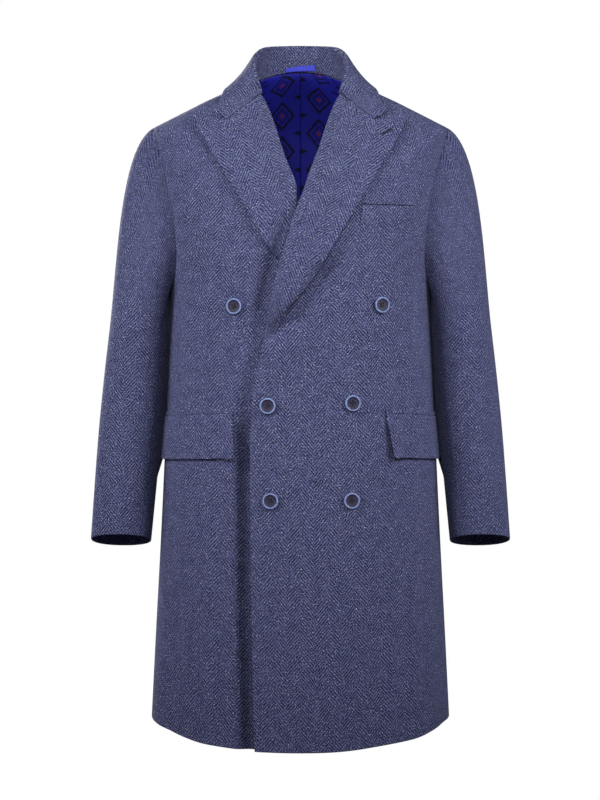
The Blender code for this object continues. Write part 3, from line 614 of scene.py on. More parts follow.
def satin_material(name, ground, dark, seed):
    """Thin satin with a printed figure and a fine rib."""
    material = bpy.data.materials.new(name)
    material.use_nodes = True
    tree = material.node_tree
    shader = tree.nodes["Principled BSDF"]
    place = add_node(tree, "ShaderNodeUVMap", uv_map="cloth").outputs["UV"]
    figure = add_node(tree, "ShaderNodeGroup", node_tree=PRINTED_FIGURE)
    tree.links.new(place, figure.inputs["Cloth"])
    figure.inputs["Ground"].default_value = ground
    figure.inputs["Dark"].default_value = dark
    figure.inputs["Seed"].default_value = seed
    rib = add_node(tree, "ShaderNodeTexWave", {"Vector": place, "Scale": 620.0, "Distortion": 1.5},
                   bands_direction="DIAGONAL")
    bump = add_node(tree, "ShaderNodeBump",
                    {"Height": rib.outputs["Fac"], "Strength": 0.12, "Distance": 0.0002})
    tree.links.new(figure.outputs["Color"], shader.inputs["Base Color"])
    tree.links.new(bump.outputs["Normal"], shader.inputs["Normal"])
    rough = add_node(tree, "ShaderNodeMapRange",
                     {"Value": figure.outputs["Ink"], "To Min": 0.55, "To Max": 0.70})
    tree.links.new(rough.outputs[0], shader.inputs["Roughness"])
    shader.inputs["Specular IOR Level"].default_value = 0.15
    return material


printed_satin = satin_material("printed_satin", LINING_BLUE, PRINT_DARK, PRINT_RED)
FRONT_FACING = 0.095
LINING_HEM = 0.035
front_levels = body_levels(96, 34, 20)
for side in ("left", "right"):
    grid, weave = front_grid(side, 72, front_levels)
    from_edge = run(grid, 1)
    if side == "right":
        from_edge = from_edge[:, -1:] - from_edge
    lined = (from_edge > FRONT_FACING) & (run(grid, 0) > LINING_HEM)
    front = cloth_piece(f"cloth_front_{side}", grid, BODY_WALL, wool, weave, (printed_satin, lined))
    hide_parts(f"front_{side}")


def back_grid(columns, levels, lift, trim=0.0):
    """Left half of the back, from the side seam to the centre-back seam."""
    outer = SIDE + ARMHOLE_BACK * armhole_turn(levels) + trim
    share = edge_shares(columns, 0.27)
    angle = outer[:, None] + (BACK - outer)[:, None] * share[None, :]
    level = np.repeat(levels[:, None], len(share), axis=1)
    return lifted(angle, level, np.full(angle.shape, lift))


def mirrored(grid):
    """The same piece on the wearer's other side."""
    flipped = grid[:, ::-1].copy()
    flipped[..., 0] *= -1
    return flipped


back_levels = body_levels(90, 34, 20)
back = back_grid(64, back_levels, 0.0)
for side, grid in (("left", back), ("right", mirrored(back))):
    around = run(grid, 1)
    centre = around[:, -1:] if side == "left" else 0
    weave = np.stack([around - centre, run(grid, 0)], axis=-1)
    panel = cloth_piece(f"cloth_back_{side}", grid, BODY_WALL, wool, weave)
    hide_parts(f"back_{side}")

# Sleeves: two-piece sleeves of the same wool, a wide top piece and a narrow under piece, sewn
# together at the front and back of the arm and set into the armhole with a slightly full head.
SLEEVE_WALL = 0.0023
SLEEVE_COLUMNS = ("z", "inner_x", "outer_x", "half_depth", "centre_y", "back_slope")
SLEEVE = (
    (-0.375, 0.2088, 0.2990, 0.0760, 0.008, 0.00),
    (-0.450, 0.2132, 0.3078, 0.0700, 0.006, 0.03),
    (-0.540, 0.2222, 0.3165, 0.0630, 0.000, 0.09),
    (-0.620, 0.2295, 0.3222, 0.0565, -0.008, 0.18),
    (-0.710, 0.2380, 0.3280, 0.0500, -0.016, 0.277),
)
CAP_OUT = 0.88
CAP_ROUND = 0.24
CAP_DOWN = (0.40, 0.55)
CAP_HANG = (0.12, 0.0, -1.0)
CAP_FIRST_PULL = (0.175, 0.030)
CAP_LAST_PULL = (0.300, 0.050)
CAP_ROWS = 30
LEAN_COLUMNS = ("z", "lean")
LEAN = ((-0.610, 0.0), (-0.565, 0.0090), (-0.450, 0.0065), (-0.375, 0.0090))
LEAN_RAMP = (-0.5, 0.4)
SLEEVE_SQUARENESS = 0.92
SLEEVE_ROWS = 64
ARM_RADIUS = 0.062
HEAD_LEAN = 0.45
CUFF_FACING = 0.030
ARMHOLE_SINK = 0.0125
ARMHOLE_TUCK = 0.11
FRONT_SEAM_TURN = 0.375
BACK_SEAM_TURN = 0.75
SLEEVE_SIZES = {"top": ((0.24, 0.68), 0.130), "under": ((0.16, 0.52), 0.060)}


def sleeve_grid(turn):
    """A left sleeve's inside at these turns, in radians, from the armhole down to the cuff."""
    drop = (1 - np.cos(turn)) / 2
    level = SHOULDER_LEVEL + (ARMPIT_LEVEL - SHOULDER_LEVEL) * drop
    ahead = np.sin(turn) >= 0
    cut = np.where(ahead, -ARMHOLE_FRONT, ARMHOLE_BACK) * armhole_turn(level)
    sunk = armhole_sunk(level)
    tucked = cut * (1 + ARMHOLE_TUCK * sunk)
    start = lifted(SIDE + tucked, level, BODY_WALL * (0.25 + 0.75 * drop) - ARMHOLE_SINK * sunk)
    down = CAP_DOWN[0] + (CAP_DOWN[1] - CAP_DOWN[0]) * drop
    leave = np.stack([np.full(len(turn), CAP_OUT), -CAP_ROUND * np.sin(turn), -down], axis=-1)
    leave /= np.linalg.norm(leave, axis=-1, keepdims=True)
    heights = column(SLEEVE, SLEEVE_COLUMNS, "z")[::-1]
    out = np.cos(turn)
    front = np.sin(turn)

    def section(z):
        """Points of the sleeve's ring whose centre is at this height."""
        size = {name: smooth_curve(heights, column(SLEEVE, SLEEVE_COLUMNS, name)[::-1], z)
                for name in SLEEVE_COLUMNS[1:]}
        middle = (size["inner_x"] + size["outer_x"]) / 2
        half = (size["outer_x"] - size["inner_x"]) / 2
        x = middle + half * np.sign(out) * np.abs(out) ** SLEEVE_SQUARENESS
        leaning = smooth_curve(column(LEAN, LEAN_COLUMNS, "z"), column(LEAN, LEAN_COLUMNS, "lean"), z)
        x = x - leaning * np.maximum(-out, 0) * ease(-front, *LEAN_RAMP)
        depth = size["half_depth"] * np.sign(front) * np.abs(front) ** SLEEVE_SQUARENESS
        return np.stack([x, size["centre_y"] - depth, z + size["back_slope"] * depth], axis=-1)

    joined = section(heights[-1])
    first_pull = CAP_FIRST_PULL[0] + (CAP_FIRST_PULL[1] - CAP_FIRST_PULL[0]) * drop
    last_pull = CAP_LAST_PULL[0] + (CAP_LAST_PULL[1] - CAP_LAST_PULL[0]) * drop
    rows = []
    for part in edge_shares(CAP_ROWS, 0.25, end=False)[:-1]:
        back = 1 - part
        rows.append(start * ((1 + 2 * part) * back ** 2)
                    + leave * (first_pull * part * back ** 2)[:, None]
                    + joined * (part ** 2 * (3 - 2 * part))
                    - np.array(CAP_HANG) * (last_pull * part ** 2 * back)[:, None])
    span = heights[-1] - heights[0]
    for part in edge_shares(SLEEVE_ROWS, span, start=False):
        rows.append(section(heights[-1] - span * part))
    return np.array(rows)[::-1, ::-1]


def sleeve_weave(grid, middle_turn, head_lean):
    """Place in a sleeve's cloth: distance round the arm from the piece's middle, and height."""
    around = run(grid, 1)
    around -= around[:, -1:] / 2
    tube_top = len(grid) - CAP_ROWS
    top = dict(zip(SLEEVE_COLUMNS, SLEEVE[0]))
    inwards = head_lean * np.maximum(grid[..., 2] - top["z"], 0)
    out = grid[..., 0] - (top["inner_x"] + top["outer_x"]) / 2 + inwards
    ahead = top["centre_y"] - grid[..., 1]
    turned = np.arctan2(ahead * math.cos(middle_turn) - out * math.sin(middle_turn),
                        out * math.cos(middle_turn) + ahead * math.sin(middle_turn))
    outermost = math.remainder(middle_turn, 2 * math.pi)
    turned = (turned + outermost) * (1 + inwards / ARM_RADIUS) - outermost
    order = np.argsort(turned[tube_top])
    low, high = turned[tube_top][order][[0, -1]]
    inside = np.clip(turned[tube_top:], low, high)
    beyond = (turned[tube_top:] - inside) * ARM_RADIUS * np.sign(around[tube_top][order][-1])
    around[tube_top:] = np.interp(inside, turned[tube_top][order], around[tube_top][order]) + beyond
    middle = grid.shape[1] // 2
    up = np.interp(grid[..., 2], grid[:, middle, 2], run(grid, 0)[:, middle])
    up += np.maximum(grid[..., 2] - grid[-1, middle, 2], 0) + np.minimum(grid[..., 2] - grid[0, middle, 2], 0)
    return np.stack([around, up], axis=-1)


for part, first, last, steps, lean in (("under", FRONT_SEAM_TURN, BACK_SEAM_TURN, 36, 0),
                                       ("top", BACK_SEAM_TURN, FRONT_SEAM_TURN + 1, 60, HEAD_LEAN)):
    turn = 2 * np.pi * (first + (last - first) * edge_shares(steps, 0.2))
    left_grid = sleeve_grid(turn)
    left_weave = sleeve_weave(left_grid, np.pi * (first + last), lean)
    right_weave = left_weave[:, ::-1] * (-1, 1)
    for side, grid, weave in (("left", left_grid, left_weave), ("right", mirrored(left_grid), right_weave)):
        lined = run(grid, 0) > CUFF_FACING
        sleeve = cloth_piece(f"cloth_sleeve_{side}_{part}", grid, SLEEVE_WALL, wool, weave,
                             (printed_satin, lined))
        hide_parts(f"sleeve_{side}_{part}")
        flat, area = SLEEVE_SIZES[part]

# Lapels: the turned-back facings of the fronts, in the same wool, cut to a peak. Each one rolls
# over the front's edge in a soft turn and lies pressed on the chest.
LAPEL_COLUMNS = ("roll_x", "roll_z", "bend_x", "bend_z", "edge_x", "edge_z")
LAPEL_LEFT = (
    (0.0555, -0.0140, 0.1130, -0.0590, 0.1640, -0.0535),
    (0.0470, -0.0400, 0.0960, -0.0760, 0.1490, -0.0880),
    (0.0345, -0.0770, 0.0770, -0.1010, 0.1275, -0.1225),
    (0.0200, -0.1200, 0.0600, -0.1390, 0.1047, -0.1594),
    (0.0030, -0.1690, 0.0390, -0.1870, 0.0800, -0.2010),
    (-0.0109, -0.2060, 0.0160, -0.2270, 0.0490, -0.2517),
    (-0.0317, -0.2730, -0.0070, -0.2900, 0.0154, -0.3034),
    (-0.0485, -0.3450, -0.0440, -0.3600, -0.0394, -0.3728),
    (-0.0640, -0.4250, -0.0625, -0.4255, -0.0610, -0.4260),
)
LAPEL_RIGHT = LAPEL_LEFT[:5] + (
    (0.0040, -0.2060, 0.0320, -0.2150, 0.0620, -0.2305),
    (0.0150, -0.2400, 0.0300, -0.2490, 0.0450, -0.2580),
    (0.0235, -0.2720, 0.0265, -0.2745, 0.0300, -0.2780),
)
LAPEL_BEND_SHARE = 0.5
LAPEL_BELLY = 0.0022
LAPEL_EDGE_LIFT = 0.0032
LAPEL_EDGE_RAMP = (0.72, 1.0)
LAPEL_TOP_LIFT = 0.0022
LAPEL_TOP_RAMP = (-0.11, -0.04)
LAPEL_LOW_LIFT = 0.0080
LAPEL_LOW_RAMP = (-0.23, -0.29)
LAPEL_LOW_END = (-0.35, -0.40)
LAPEL_MERGE_WIDTH = (0.003, 0.024)
LAPEL_GRAIN = math.radians(19)
FACING_WIDTH = 0.014
LAPEL_SIZES = {"left": ((0.16, 0.46), 0.036), "right": ((0.16, 0.34), 0.028)}


def find(x, z):
    """Angle and level of the points of the front that have this x and z."""
    x, z = np.broadcast_arrays(np.asarray(x, float), np.asarray(z, float))
    level = np.interp(z, RING_VALUES["front_z"], RING_LEVELS)
    angle = np.arcsin(np.clip(x / ring("half_width", level), -0.97, 0.97))
    step = 1e-4
    for _ in range(60):
        here = cloth(angle, level)
        by_angle = (cloth(angle + step, level) - here) / step
        by_level = (cloth(angle, level + step) - here) / step
        miss_x = x - here[..., 0]
        miss_z = z - here[..., 2]
        scale = by_angle[..., 0] * by_level[..., 2] - by_angle[..., 2] * by_level[..., 0]
        scale = np.where(np.abs(scale) < 1e-6, 1e-6, scale)
        turn = (miss_x * by_level[..., 2] - miss_z * by_level[..., 0]) / scale
        climb = (miss_z * by_angle[..., 0] - miss_x * by_angle[..., 2]) / scale
        angle = np.clip(angle + np.clip(turn, -0.1, 0.1), -1.54, 1.54)
        level = np.clip(level + np.clip(climb, -0.03, 0.03), 0.0, RING_LEVELS[-1] - step)
    return angle, level


def on_front(front, x, z, lift):
    """Points that lie on a front's outside at this x and z, moved out by lift."""
    angle, level = find(x, z)
    total = BODY_WALL + front_lift(front, cloth(angle, level)) + lift
    return lifted(angle, level, total)


def lapel_grid(front, table, rows, columns):
    """A lapel's underside: a strip of facing, the roll over the front's edge, and the lapel."""
    knots = np.arange(len(table), dtype=float)
    at = (len(table) - 1) * edge_shares(rows, 0.4)
    place = {name: smooth_curve(knots, column(table, LAPEL_COLUMNS, name), at) for name in LAPEL_COLUMNS}
    share = edge_shares(columns, 0.11, start=False)
    inner = np.clip(share / LAPEL_BEND_SHARE, 0, 1)
    outer = np.clip((share - LAPEL_BEND_SHARE) / (1 - LAPEL_BEND_SHARE), 0, 1)
    inset = np.minimum(ROLL_INSET, 0.6 * (place["edge_x"] - place["roll_x"]))

    def across(axis):
        roll, middle, edge = (place[f"{part}_{axis}"][:, None] for part in ("roll", "bend", "edge"))
        if axis == "x":
            roll = roll + inset[:, None]
        return roll + (middle - roll) * inner + (edge - middle) * outer

    sign = 1 if front == "left" else -1
    belly = LAPEL_BELLY * np.sin(np.pi * share) + LAPEL_EDGE_LIFT * ease(share, *LAPEL_EDGE_RAMP)
    low_end = ease(across("z"), *LAPEL_LOW_RAMP) * (1 - ease(across("z"), *LAPEL_LOW_END))
    lift = LYING + belly + LAPEL_TOP_LIFT * ease(across("z"), *LAPEL_TOP_RAMP)
    lift = lift + (LAPEL_LOW_LIFT * low_end * ease(share, 0.1, 1.0) if front == "left" else 0)
    broad = ease(place["edge_x"] - place["roll_x"], *LAPEL_MERGE_WIDTH)[:, None]
    lift = lift * broad - (LAPEL_WALL + LYING / 2) * (1 - broad)
    lying = on_front(front, sign * across("x"), across("z"), lift)
    out = grid_normals(lying)[:, :1] * sign
    away = lying[:, :1] - lying[:, 1:2]
    away -= out * np.sum(away * out, axis=-1, keepdims=True)
    away /= np.linalg.norm(away, axis=-1, keepdims=True)
    radius = (BODY_WALL + 2 * LYING) / 2 * (inset / ROLL_INSET)[:, None, None]
    centre = lying[:, :1] - out * radius
    bend = np.linspace(-np.pi / 2, np.pi / 2, 12)[None, :-1, None]
    roll = centre + (away * np.cos(bend) + out * np.sin(bend)) * radius
    under = np.linspace(FACING_WIDTH, 0, 6)[None, :-1, None]
    facing = centre - out * radius - away * under
    grid = np.concatenate([facing, roll, lying], axis=1)
    return grid[::-1] if front == "left" else grid[::-1, ::-1]


for side, table, rows in (("left", LAPEL_LEFT, 120), ("right", LAPEL_RIGHT, 96)):
    grid = lapel_grid(side, table, rows, 44)
    lean = LAPEL_GRAIN if side == "left" else -LAPEL_GRAIN
    over = run(grid, 1)
    along = grid[..., 0] * math.sin(lean) + grid[..., 2] * math.cos(lean)
    weave = np.stack([over if side == "left" else over - over[:, -1:], along], axis=-1)
    lapel = cloth_piece(f"cloth_lapel_{side}", grid, LAPEL_WALL, wool, weave)
    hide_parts(f"lapel_{side}")
    flat, area = LAPEL_SIZES[side]

# Collar: one piece of wool over a stiff undercollar. Its stand is sewn round the neck, and its
# fall rolls over and lies on the shoulders, down to the notch above each lapel.
COLLAR_WALL = 0.0034
COLLAR_COLUMNS = (
    "neck_angle", "neck_rise", "fold_x", "fold_y", "fold_z", "edge_angle", "edge_level", "notch")
COLLAR = (
    (180, 0.0006, 0.0000, 0.0880, 0.0750, 180, 0.980, 0.0),
    (160, 0.0006, 0.0300, 0.0830, 0.0738, 162, 0.980, 0.0),
    (138, 0.0009, 0.0530, 0.0660, 0.0700, 142, 0.979, 0.0),
    (114, 0.0016, 0.0650, 0.0360, 0.0600, 118, 0.978, 0.0),
    (90, 0.0013, 0.0712, 0.0040, 0.0450, 88, 0.976, 0.0),
    (72, 0.0020, 0.0698, -0.0170, 0.0310, 74, 0.970, 0.0),
    (58, 0.0050, 0.0655, -0.0275, 0.0160, 65.5, 0.9625, 0.25),
    (48, 0.0090, 0.0555, -0.0395, -0.0125, 61.1, 0.9543, 1.0),
)
COLLAR_NOTCH = (0.1125, -0.0570)
COLLAR_TIP = (0.1350, -0.0440)
NOTCH_SHARE = 0.72
COLLAR_LYING = 0.0026
FOLD_RADIUS = 0.0015
FALL_HOLLOW = 0.004
FALL_LAID_RAMP = (0.2, 0.45)
END_INSET_RAMP = (4.0, 6.6)


def lay_over(points, angle, level, lift):
    """Points moved out where they come closer to the body's inside than lift."""
    step = 1e-4
    for _ in range(12):
        here = cloth(angle, level)
        by_angle = (cloth(angle + step, level) - here) / step
        by_level = (cloth(angle, level + step) - here) / step
        miss = points - here
        turn_size = np.sum(by_angle ** 2, axis=-1)
        climb_size = np.sum(by_level ** 2, axis=-1)
        mixed = np.sum(by_angle * by_level, axis=-1)
        turn_miss = np.sum(by_angle * miss, axis=-1)
        climb_miss = np.sum(by_level * miss, axis=-1)
        scale = turn_size * climb_size - mixed ** 2
        turn = (turn_miss * climb_size - climb_miss * mixed) / scale
        climb = (climb_miss * turn_size - turn_miss * mixed) / scale
        angle = angle + np.clip(turn, -0.1, 0.1)
        level = np.clip(level + np.clip(climb, -0.02, 0.02), 0.0, 1.04)
    out = normal(angle, level)
    height = np.sum((points - cloth(angle, level)) * out, axis=-1)
    return points + out * np.maximum(lift - height, 0)[..., None]


def collar_stand(at):
    """Values of the collar's table, and its points on the neck seam and on the fold."""
    knots = np.arange(len(COLLAR), dtype=float)
    place = {name: smooth_curve(knots, column(COLLAR, COLLAR_COLUMNS, name), at) for name in COLLAR_COLUMNS}
    neck = cloth(np.radians(place["neck_angle"]), np.ones(len(at)))
    neck[:, 2] += place["neck_rise"]
    fold = np.stack([place["fold_x"], place["fold_y"], place["fold_z"]], axis=-1)
    return place, neck, fold


def collar_half(rows, stand_columns, fall_columns):
    """The wearer's left half of the collar, from centre back to its end at the notch."""
    at = (len(COLLAR) - 1) * edge_shares(rows, 0.22, start=False)
    place, neck, fold = collar_stand(at)
    neck_angle = np.radians(place["neck_angle"])
    edge_angle = np.radians(place["edge_angle"])
    lift = BODY_WALL + COLLAR_LYING
    edge = lifted(edge_angle, place["edge_level"], np.full(len(neck), lift))
    aside = (edge - fold) * (1, 1, 0)
    aside *= (COLLAR_WALL * ease(at, *END_INSET_RAMP) / np.linalg.norm(aside, axis=-1))[:, None]
    neck = neck + aside
    fold = fold + aside
    up = edge_shares(stand_columns, 0.04, end=False)[None, :, None]
    stand = neck[:, None] + (fold - neck)[:, None] * up
    along = np.gradient(fold, axis=0)
    along[0] = (1, 0, 0)
    along /= np.linalg.norm(along, axis=-1, keepdims=True)
    rise = np.array([0, 0, 1.0]) - along * along[:, 2:]
    rise /= np.linalg.norm(rise, axis=-1, keepdims=True)
    outward = np.cross(rise, along)
    middle = fold + outward * FOLD_RADIUS
    reach = np.sum((edge - middle) * outward, axis=-1)
    drop = np.sum((middle - edge) * rise, axis=-1)
    bend = np.pi + (np.arctan2(reach, drop) - np.pi)[:, None] * np.linspace(0, 1, 9)[1:]
    raised = outward[:, None] * np.cos(bend)[..., None] + rise[:, None] * np.sin(bend)[..., None]
    turn = middle[:, None] + raised * FOLD_RADIUS
    crest = turn[:, -1]
    turn = turn[:, :-1]
    share = edge_shares(fall_columns, 0.05, start=False)
    stops = (0, NOTCH_SHARE, 1)
    end_x = np.interp(share, stops, (crest[-1, 0], COLLAR_NOTCH[0], COLLAR_TIP[0]))
    end_z = np.interp(share, stops, (crest[-1, 2], COLLAR_NOTCH[1], COLLAR_TIP[1]))
    end = on_front("right", end_x, end_z, np.full(len(share), COLLAR_LYING))
    fall = crest[:, None] + (edge - crest)[:, None] * share[None, :, None]
    fall[..., 2] -= FALL_HOLLOW * np.sin(np.pi * share)
    shift = place["notch"][:, None, None] * (end - fall[-1])
    stand = stand + shift[:, :1]
    turn = turn + shift[:, :1]
    fall += shift
    angle = neck_angle[:, None] + (edge_angle - neck_angle)[:, None] * share
    level = 1 + (place["edge_level"] - 1)[:, None] * share
    laid = lay_over(fall, angle, level, lift)
    fall += (laid - fall) * ease(share, *FALL_LAID_RAMP)[None, :, None]
    return np.concatenate([stand, turn, fall], axis=1)


half = collar_half(90, 16, 30)
grid = np.concatenate([(half * (-1, 1, 1))[:0:-1], half], axis=0)[:, ::-1]
along = run(grid, 0)
weave = np.stack([along - along[len(half) - 1], run(grid, 1)], axis=-1)
collar = cloth_piece("cloth_collar", grid, COLLAR_WALL, wool, weave)
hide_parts("collar")

# Hip-pocket flaps: doubled wool with turned edges, sewn under a narrow jet over each pocket's
# mouth. Their weave is matched to the front, and their inner ends stand a little off it.
FLAP_WALL = 0.0026
JET_WALL = 0.0016
FLAP_TOP_Z = -0.507
FLAP_BOTTOM_Z = -0.574
FLAP_SIDE_DROP = 0.006
FLAP_STAND = 0.0036
FLAP_END_STAND = 0.0060
FLAP_END_WIDTH = math.radians(9)
FLAP_CORNER = 0.006
FLAP_INNER = {"left": (0.1280, 0.1370), "right": (0.1020, 0.0980)}
FLAP_OUTER_ANGLE = math.radians(87)
JET_HEIGHT = 0.0065
JET_GAP = 0.0004
FLAP_SIZES = {"left": ((0.16, 0.068), 0.0105), "right": ((0.20, 0.068), 0.0135)}
JET_SIZES = {"left": ((0.16, 0.012), 0.0011), "right": ((0.20, 0.012), 0.0014)}


def hip_grid(side, top_z, bottom_z, rows, columns, stand, end_stand, corner):
    """A strip across the hip of one side, from its inner end to the side seam."""
    inner_top, inner_bottom = FLAP_INNER[side]
    sign = 1 if side == "left" else -1
    grid = []
    weave = []
    for part in edge_shares(rows, top_z - bottom_z):
        z = bottom_z + (top_z - bottom_z) * part
        span = (z - FLAP_BOTTOM_Z) / (FLAP_TOP_Z - FLAP_BOTTOM_Z)
        short = max(0.0, 1 - (z - bottom_z) / corner) if corner else 0.0
        rounded = corner * (1 - math.sqrt(1 - short ** 2))
        x = inner_bottom + (inner_top - inner_bottom) * min(span, 1) + rounded
        inner_angle = float(find(x, z)[0])
        angle = inner_angle + (FLAP_OUTER_ANGLE - inner_angle) * edge_shares(columns, 0.18)
        sag = z - FLAP_SIDE_DROP * ease(angle, inner_angle, FLAP_OUTER_ANGLE)
        level = np.interp(sag, RING_VALUES["side_z"], RING_LEVELS)
        under = np.maximum(front_lift(side, cloth(sign * angle, level)), 0) + BODY_WALL + LYING / 2
        ended = end_stand * (1 - ease(angle, inner_angle, inner_angle + FLAP_END_WIDTH))
        row = lifted(sign * angle, level, under + (stand + ended) * (1 - part) ** 0.8)
        woven = front_weave(sign * angle, level)
        grid.append(row if side == "left" else row[::-1])
        weave.append(woven if side == "left" else woven[::-1])
    return np.array(grid), np.array(weave)


jet_bottom = FLAP_TOP_Z + JET_GAP
for side in ("left", "right"):
    grid, weave = hip_grid(side, FLAP_TOP_Z, FLAP_BOTTOM_Z, 24, 56, FLAP_STAND, FLAP_END_STAND, FLAP_CORNER)
    flap = cloth_piece(f"cloth_flap_{side}", grid, FLAP_WALL, wool, weave)
    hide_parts(f"flap_{side}")
    flat, area = FLAP_SIZES[side]
    grid, weave = hip_grid(side, jet_bottom + JET_HEIGHT, jet_bottom, 2, 56, 0.0, 0.0, 0.0)
    jet = cloth_piece(f"cloth_jet_{side}", grid, JET_WALL, wool, weave)
    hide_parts(f"jet_{side}")
    flat, area = JET_SIZES[side]

# Breast welt: a folded strip of wool that stands up from the breast pocket's lower seam, sewn
# down at both ends. It is pressed flat, and its weave is matched to the chest.
WELT_WALL = 0.0018
WELT_TOP = (0.0935, 0.1705, -0.1900)
WELT_BOTTOM = (0.0880, 0.1650, -0.2270)
WELT_STAND = 0.0012
WELT_STAND_RAMP = (0.2, 1.0)
WELT_SEAM_RAMP = (0.0, 0.5)
welt_grid = []
welt_weave = []
for part in edge_shares(14, 0.037):
    left_x, right_x, z = (low + (high - low) * part for low, high in zip(WELT_BOTTOM, WELT_TOP))
    x = left_x + (right_x - left_x) * edge_shares(28, 0.077)
    sewn = 1 - ease(part, *WELT_SEAM_RAMP)
    lift = WELT_STAND * ease(part, *WELT_STAND_RAMP) - (WELT_WALL - LYING / 4) * sewn
    welt_grid.append(on_front("left", x, np.full(len(x), z), np.full(len(x), lift)))
    welt_weave.append(front_weave(*find(x, np.full(len(x), z))))
welt = cloth_piece("cloth_breast_welt", np.array(welt_grid), WELT_WALL, wool, np.array(welt_weave))
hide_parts("breast_welt")

# Breast pocket mouth: a thin near-black strip laid on the chest along the welt's top edge, behind the welt.
# It is painted shadow, standing for the shade inside the pocket's open mouth.
MOUTH_WALL = 0.0006
MOUTH_X = (0.0945, 0.1690)
MOUTH_Z = (-0.1912, -0.1880)
# Painted shadow: these near-black tones, mottled by noise, stand for the shade in the pocket's mouth.
POCKET_SHADOW_DARK = (0.0040, 0.0042, 0.0120, 1)
POCKET_SHADOW_LIGHT = (0.0100, 0.0105, 0.0260, 1)
pocket_shadow_paint = bpy.data.materials.new("pocket_shadow_paint")
pocket_shadow_paint.use_nodes = True
tree = pocket_shadow_paint.node_tree
shader = tree.nodes["Principled BSDF"]
place = add_node(tree, "ShaderNodeTexCoord").outputs["Object"]
slub = add_node(tree, "ShaderNodeTexNoise", {"Vector": place, "Scale": 1200.0, "Detail": 2.0})
tone = add_node(tree, "ShaderNodeMix", {0: slub.outputs["Fac"], 6: POCKET_SHADOW_DARK, 7: POCKET_SHADOW_LIGHT},
                data_type="RGBA")
tree.links.new(tone.outputs[2], shader.inputs["Base Color"])
shader.inputs["Roughness"].default_value = 0.9
shader.inputs["Specular IOR Level"].default_value = 0.1
mouth_x = np.linspace(*MOUTH_X, 30)
mouth_grid = []
mouth_weave = []
for z in np.linspace(*MOUTH_Z, 5):
    mouth_z = np.full(len(mouth_x), z)
    mouth_grid.append(on_front("left", mouth_x, mouth_z, np.full(len(mouth_x), LYING / 4)))
    mouth_weave.append(front_weave(*find(mouth_x, mouth_z)))
mouth = cloth_piece("breast_pocket_mouth_shadow", np.array(mouth_grid), MOUTH_WALL, pocket_shadow_paint,
                    np.array(mouth_weave))

# Back lining: two thin satin panels with a small printed figure, joined at centre back and felled
# to the neck and shoulders. They hang inside the backs and stop short of the hem.
LINING_WALL = 0.0008
LINING_HEM_LEVEL = 0.035
LINING_TRIM = math.radians(0.6)
PUCKER_DEPTH = 0.0006
PUCKERS = 9


lining_levels = LINING_HEM_LEVEL + (1 - LINING_HEM_LEVEL) * back_levels
lining = back_grid(48, lining_levels, -LINING_WALL - LYING, LINING_TRIM)
ripple = PUCKER_DEPTH * np.sin(np.linspace(0, PUCKERS * np.pi, lining.shape[1])) ** 2
lining -= grid_normals(lining) * ripple[None, :, None]
for side, grid in (("left", lining), ("right", mirrored(lining))):
    around = run(grid, 1)
    centre = around[:, -1:] if side == "left" else 0
    weave = np.stack([around - centre, run(grid, 0)], axis=-1)
    panel = cloth_piece(f"cloth_lining_{side}", grid, LINING_WALL, printed_satin, weave)
    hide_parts(f"lining_{side}")

# Hanger loop: a short folded strip of plain lining satin, stitched down at both ends across the
# foot of the collar's stand, so that the coat can hang from a hook.
LOOP_HALF_SPAN = 0.80
LOOP_LOWER = (0.03, 0.08)
LOOP_UPPER = (0.20, 0.33)
LOOP_BOW = 0.0006
LOOP_BLUE = (0.050, 0.058, 0.480, 1)
plain_satin = satin_material("plain_satin", LOOP_BLUE, LOOP_BLUE, LOOP_BLUE)
at = LOOP_HALF_SPAN * (2 * edge_shares(24, 0.05) - 1)
_, neck, fold = collar_stand(np.abs(at))
loop_rows = []
for part in edge_shares(6, 0.008):
    ends = [high + (low - high) * part for low, high in zip(LOOP_LOWER, LOOP_UPPER)]
    share = ends[0] + (ends[1] - ends[0]) * (at + LOOP_HALF_SPAN) / (2 * LOOP_HALF_SPAN)
    row = neck + (fold - neck) * share[:, None]
    row[:, 0] *= np.sign(at)
    row[:, 1] -= COLLAR_WALL + LINING_WALL + LYING / 2 + LOOP_BOW * (1 - (at / LOOP_HALF_SPAN) ** 2)
    loop_rows.append(row)
grid = np.array(loop_rows)
loop_weave = np.stack([run(grid, 1), run(grid, 0)], axis=-1)
loop = cloth_piece("cloth_hanger_loop", grid, LINING_WALL, plain_satin, loop_weave)
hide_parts("hanger_loop")

# Buttons: turned and polished horn with a raised rim, a dished face and four holes, sewn on with
# dark thread. The inner column fastens the fronts, and the top pair is for show.
BUTTON_COLUMNS = ("x", "z", "front", "turn")
BUTTONS = (
    (-0.0990, -0.3430, "right", 0.35),
    (0.1217, -0.3410, "left", 0.05),
    (-0.0487, -0.4940, "left", 0.60),
    (0.0775, -0.4900, "left", 0.75),
    (-0.0447, -0.6376, "left", 0.20),
    (0.0760, -0.6376, "left", 0.85),
)
BUTTON_SEAT = 0.0014
BUTTON_AROUND = 96
# Radius and height, from the middle of the face over the rim to the middle of the back
BUTTON_PROFILE = (
    (0.0000, 0.0025), (0.0062, 0.0026), (0.0080, 0.0029), (0.0089, 0.0035), (0.0096, 0.0042),
    (0.0104, 0.0046), (0.0113, 0.0045), (0.0120, 0.0039), (0.0125, 0.0030), (0.0124, 0.0020),
    (0.0117, 0.0009), (0.0104, 0.0002), (0.0090, 0.0000), (0.0000, 0.0000),
)
BUTTON_FACE = 0.0062
RIM_INNER = (0.0094, 0.0100)
RIM_OUTER = (0.0126, 0.0119)
HOLE_RING = 0.0028
HOLE_RADIUS = 0.0012
HOLE_DEPTH = 0.0019
THREAD_RADIUS = 0.00032
HORN_DARK = (0.008, 0.007, 0.018, 1)
HORN_MIDDLE = (0.040, 0.036, 0.074, 1)
# Painted highlight: the pale blue of the rim's crest stands for light caught by the polished rim.
HORN_RIM_HIGHLIGHT = (0.200, 0.265, 0.520, 1)
THREAD_BLUE = (0.003, 0.003, 0.008, 1)


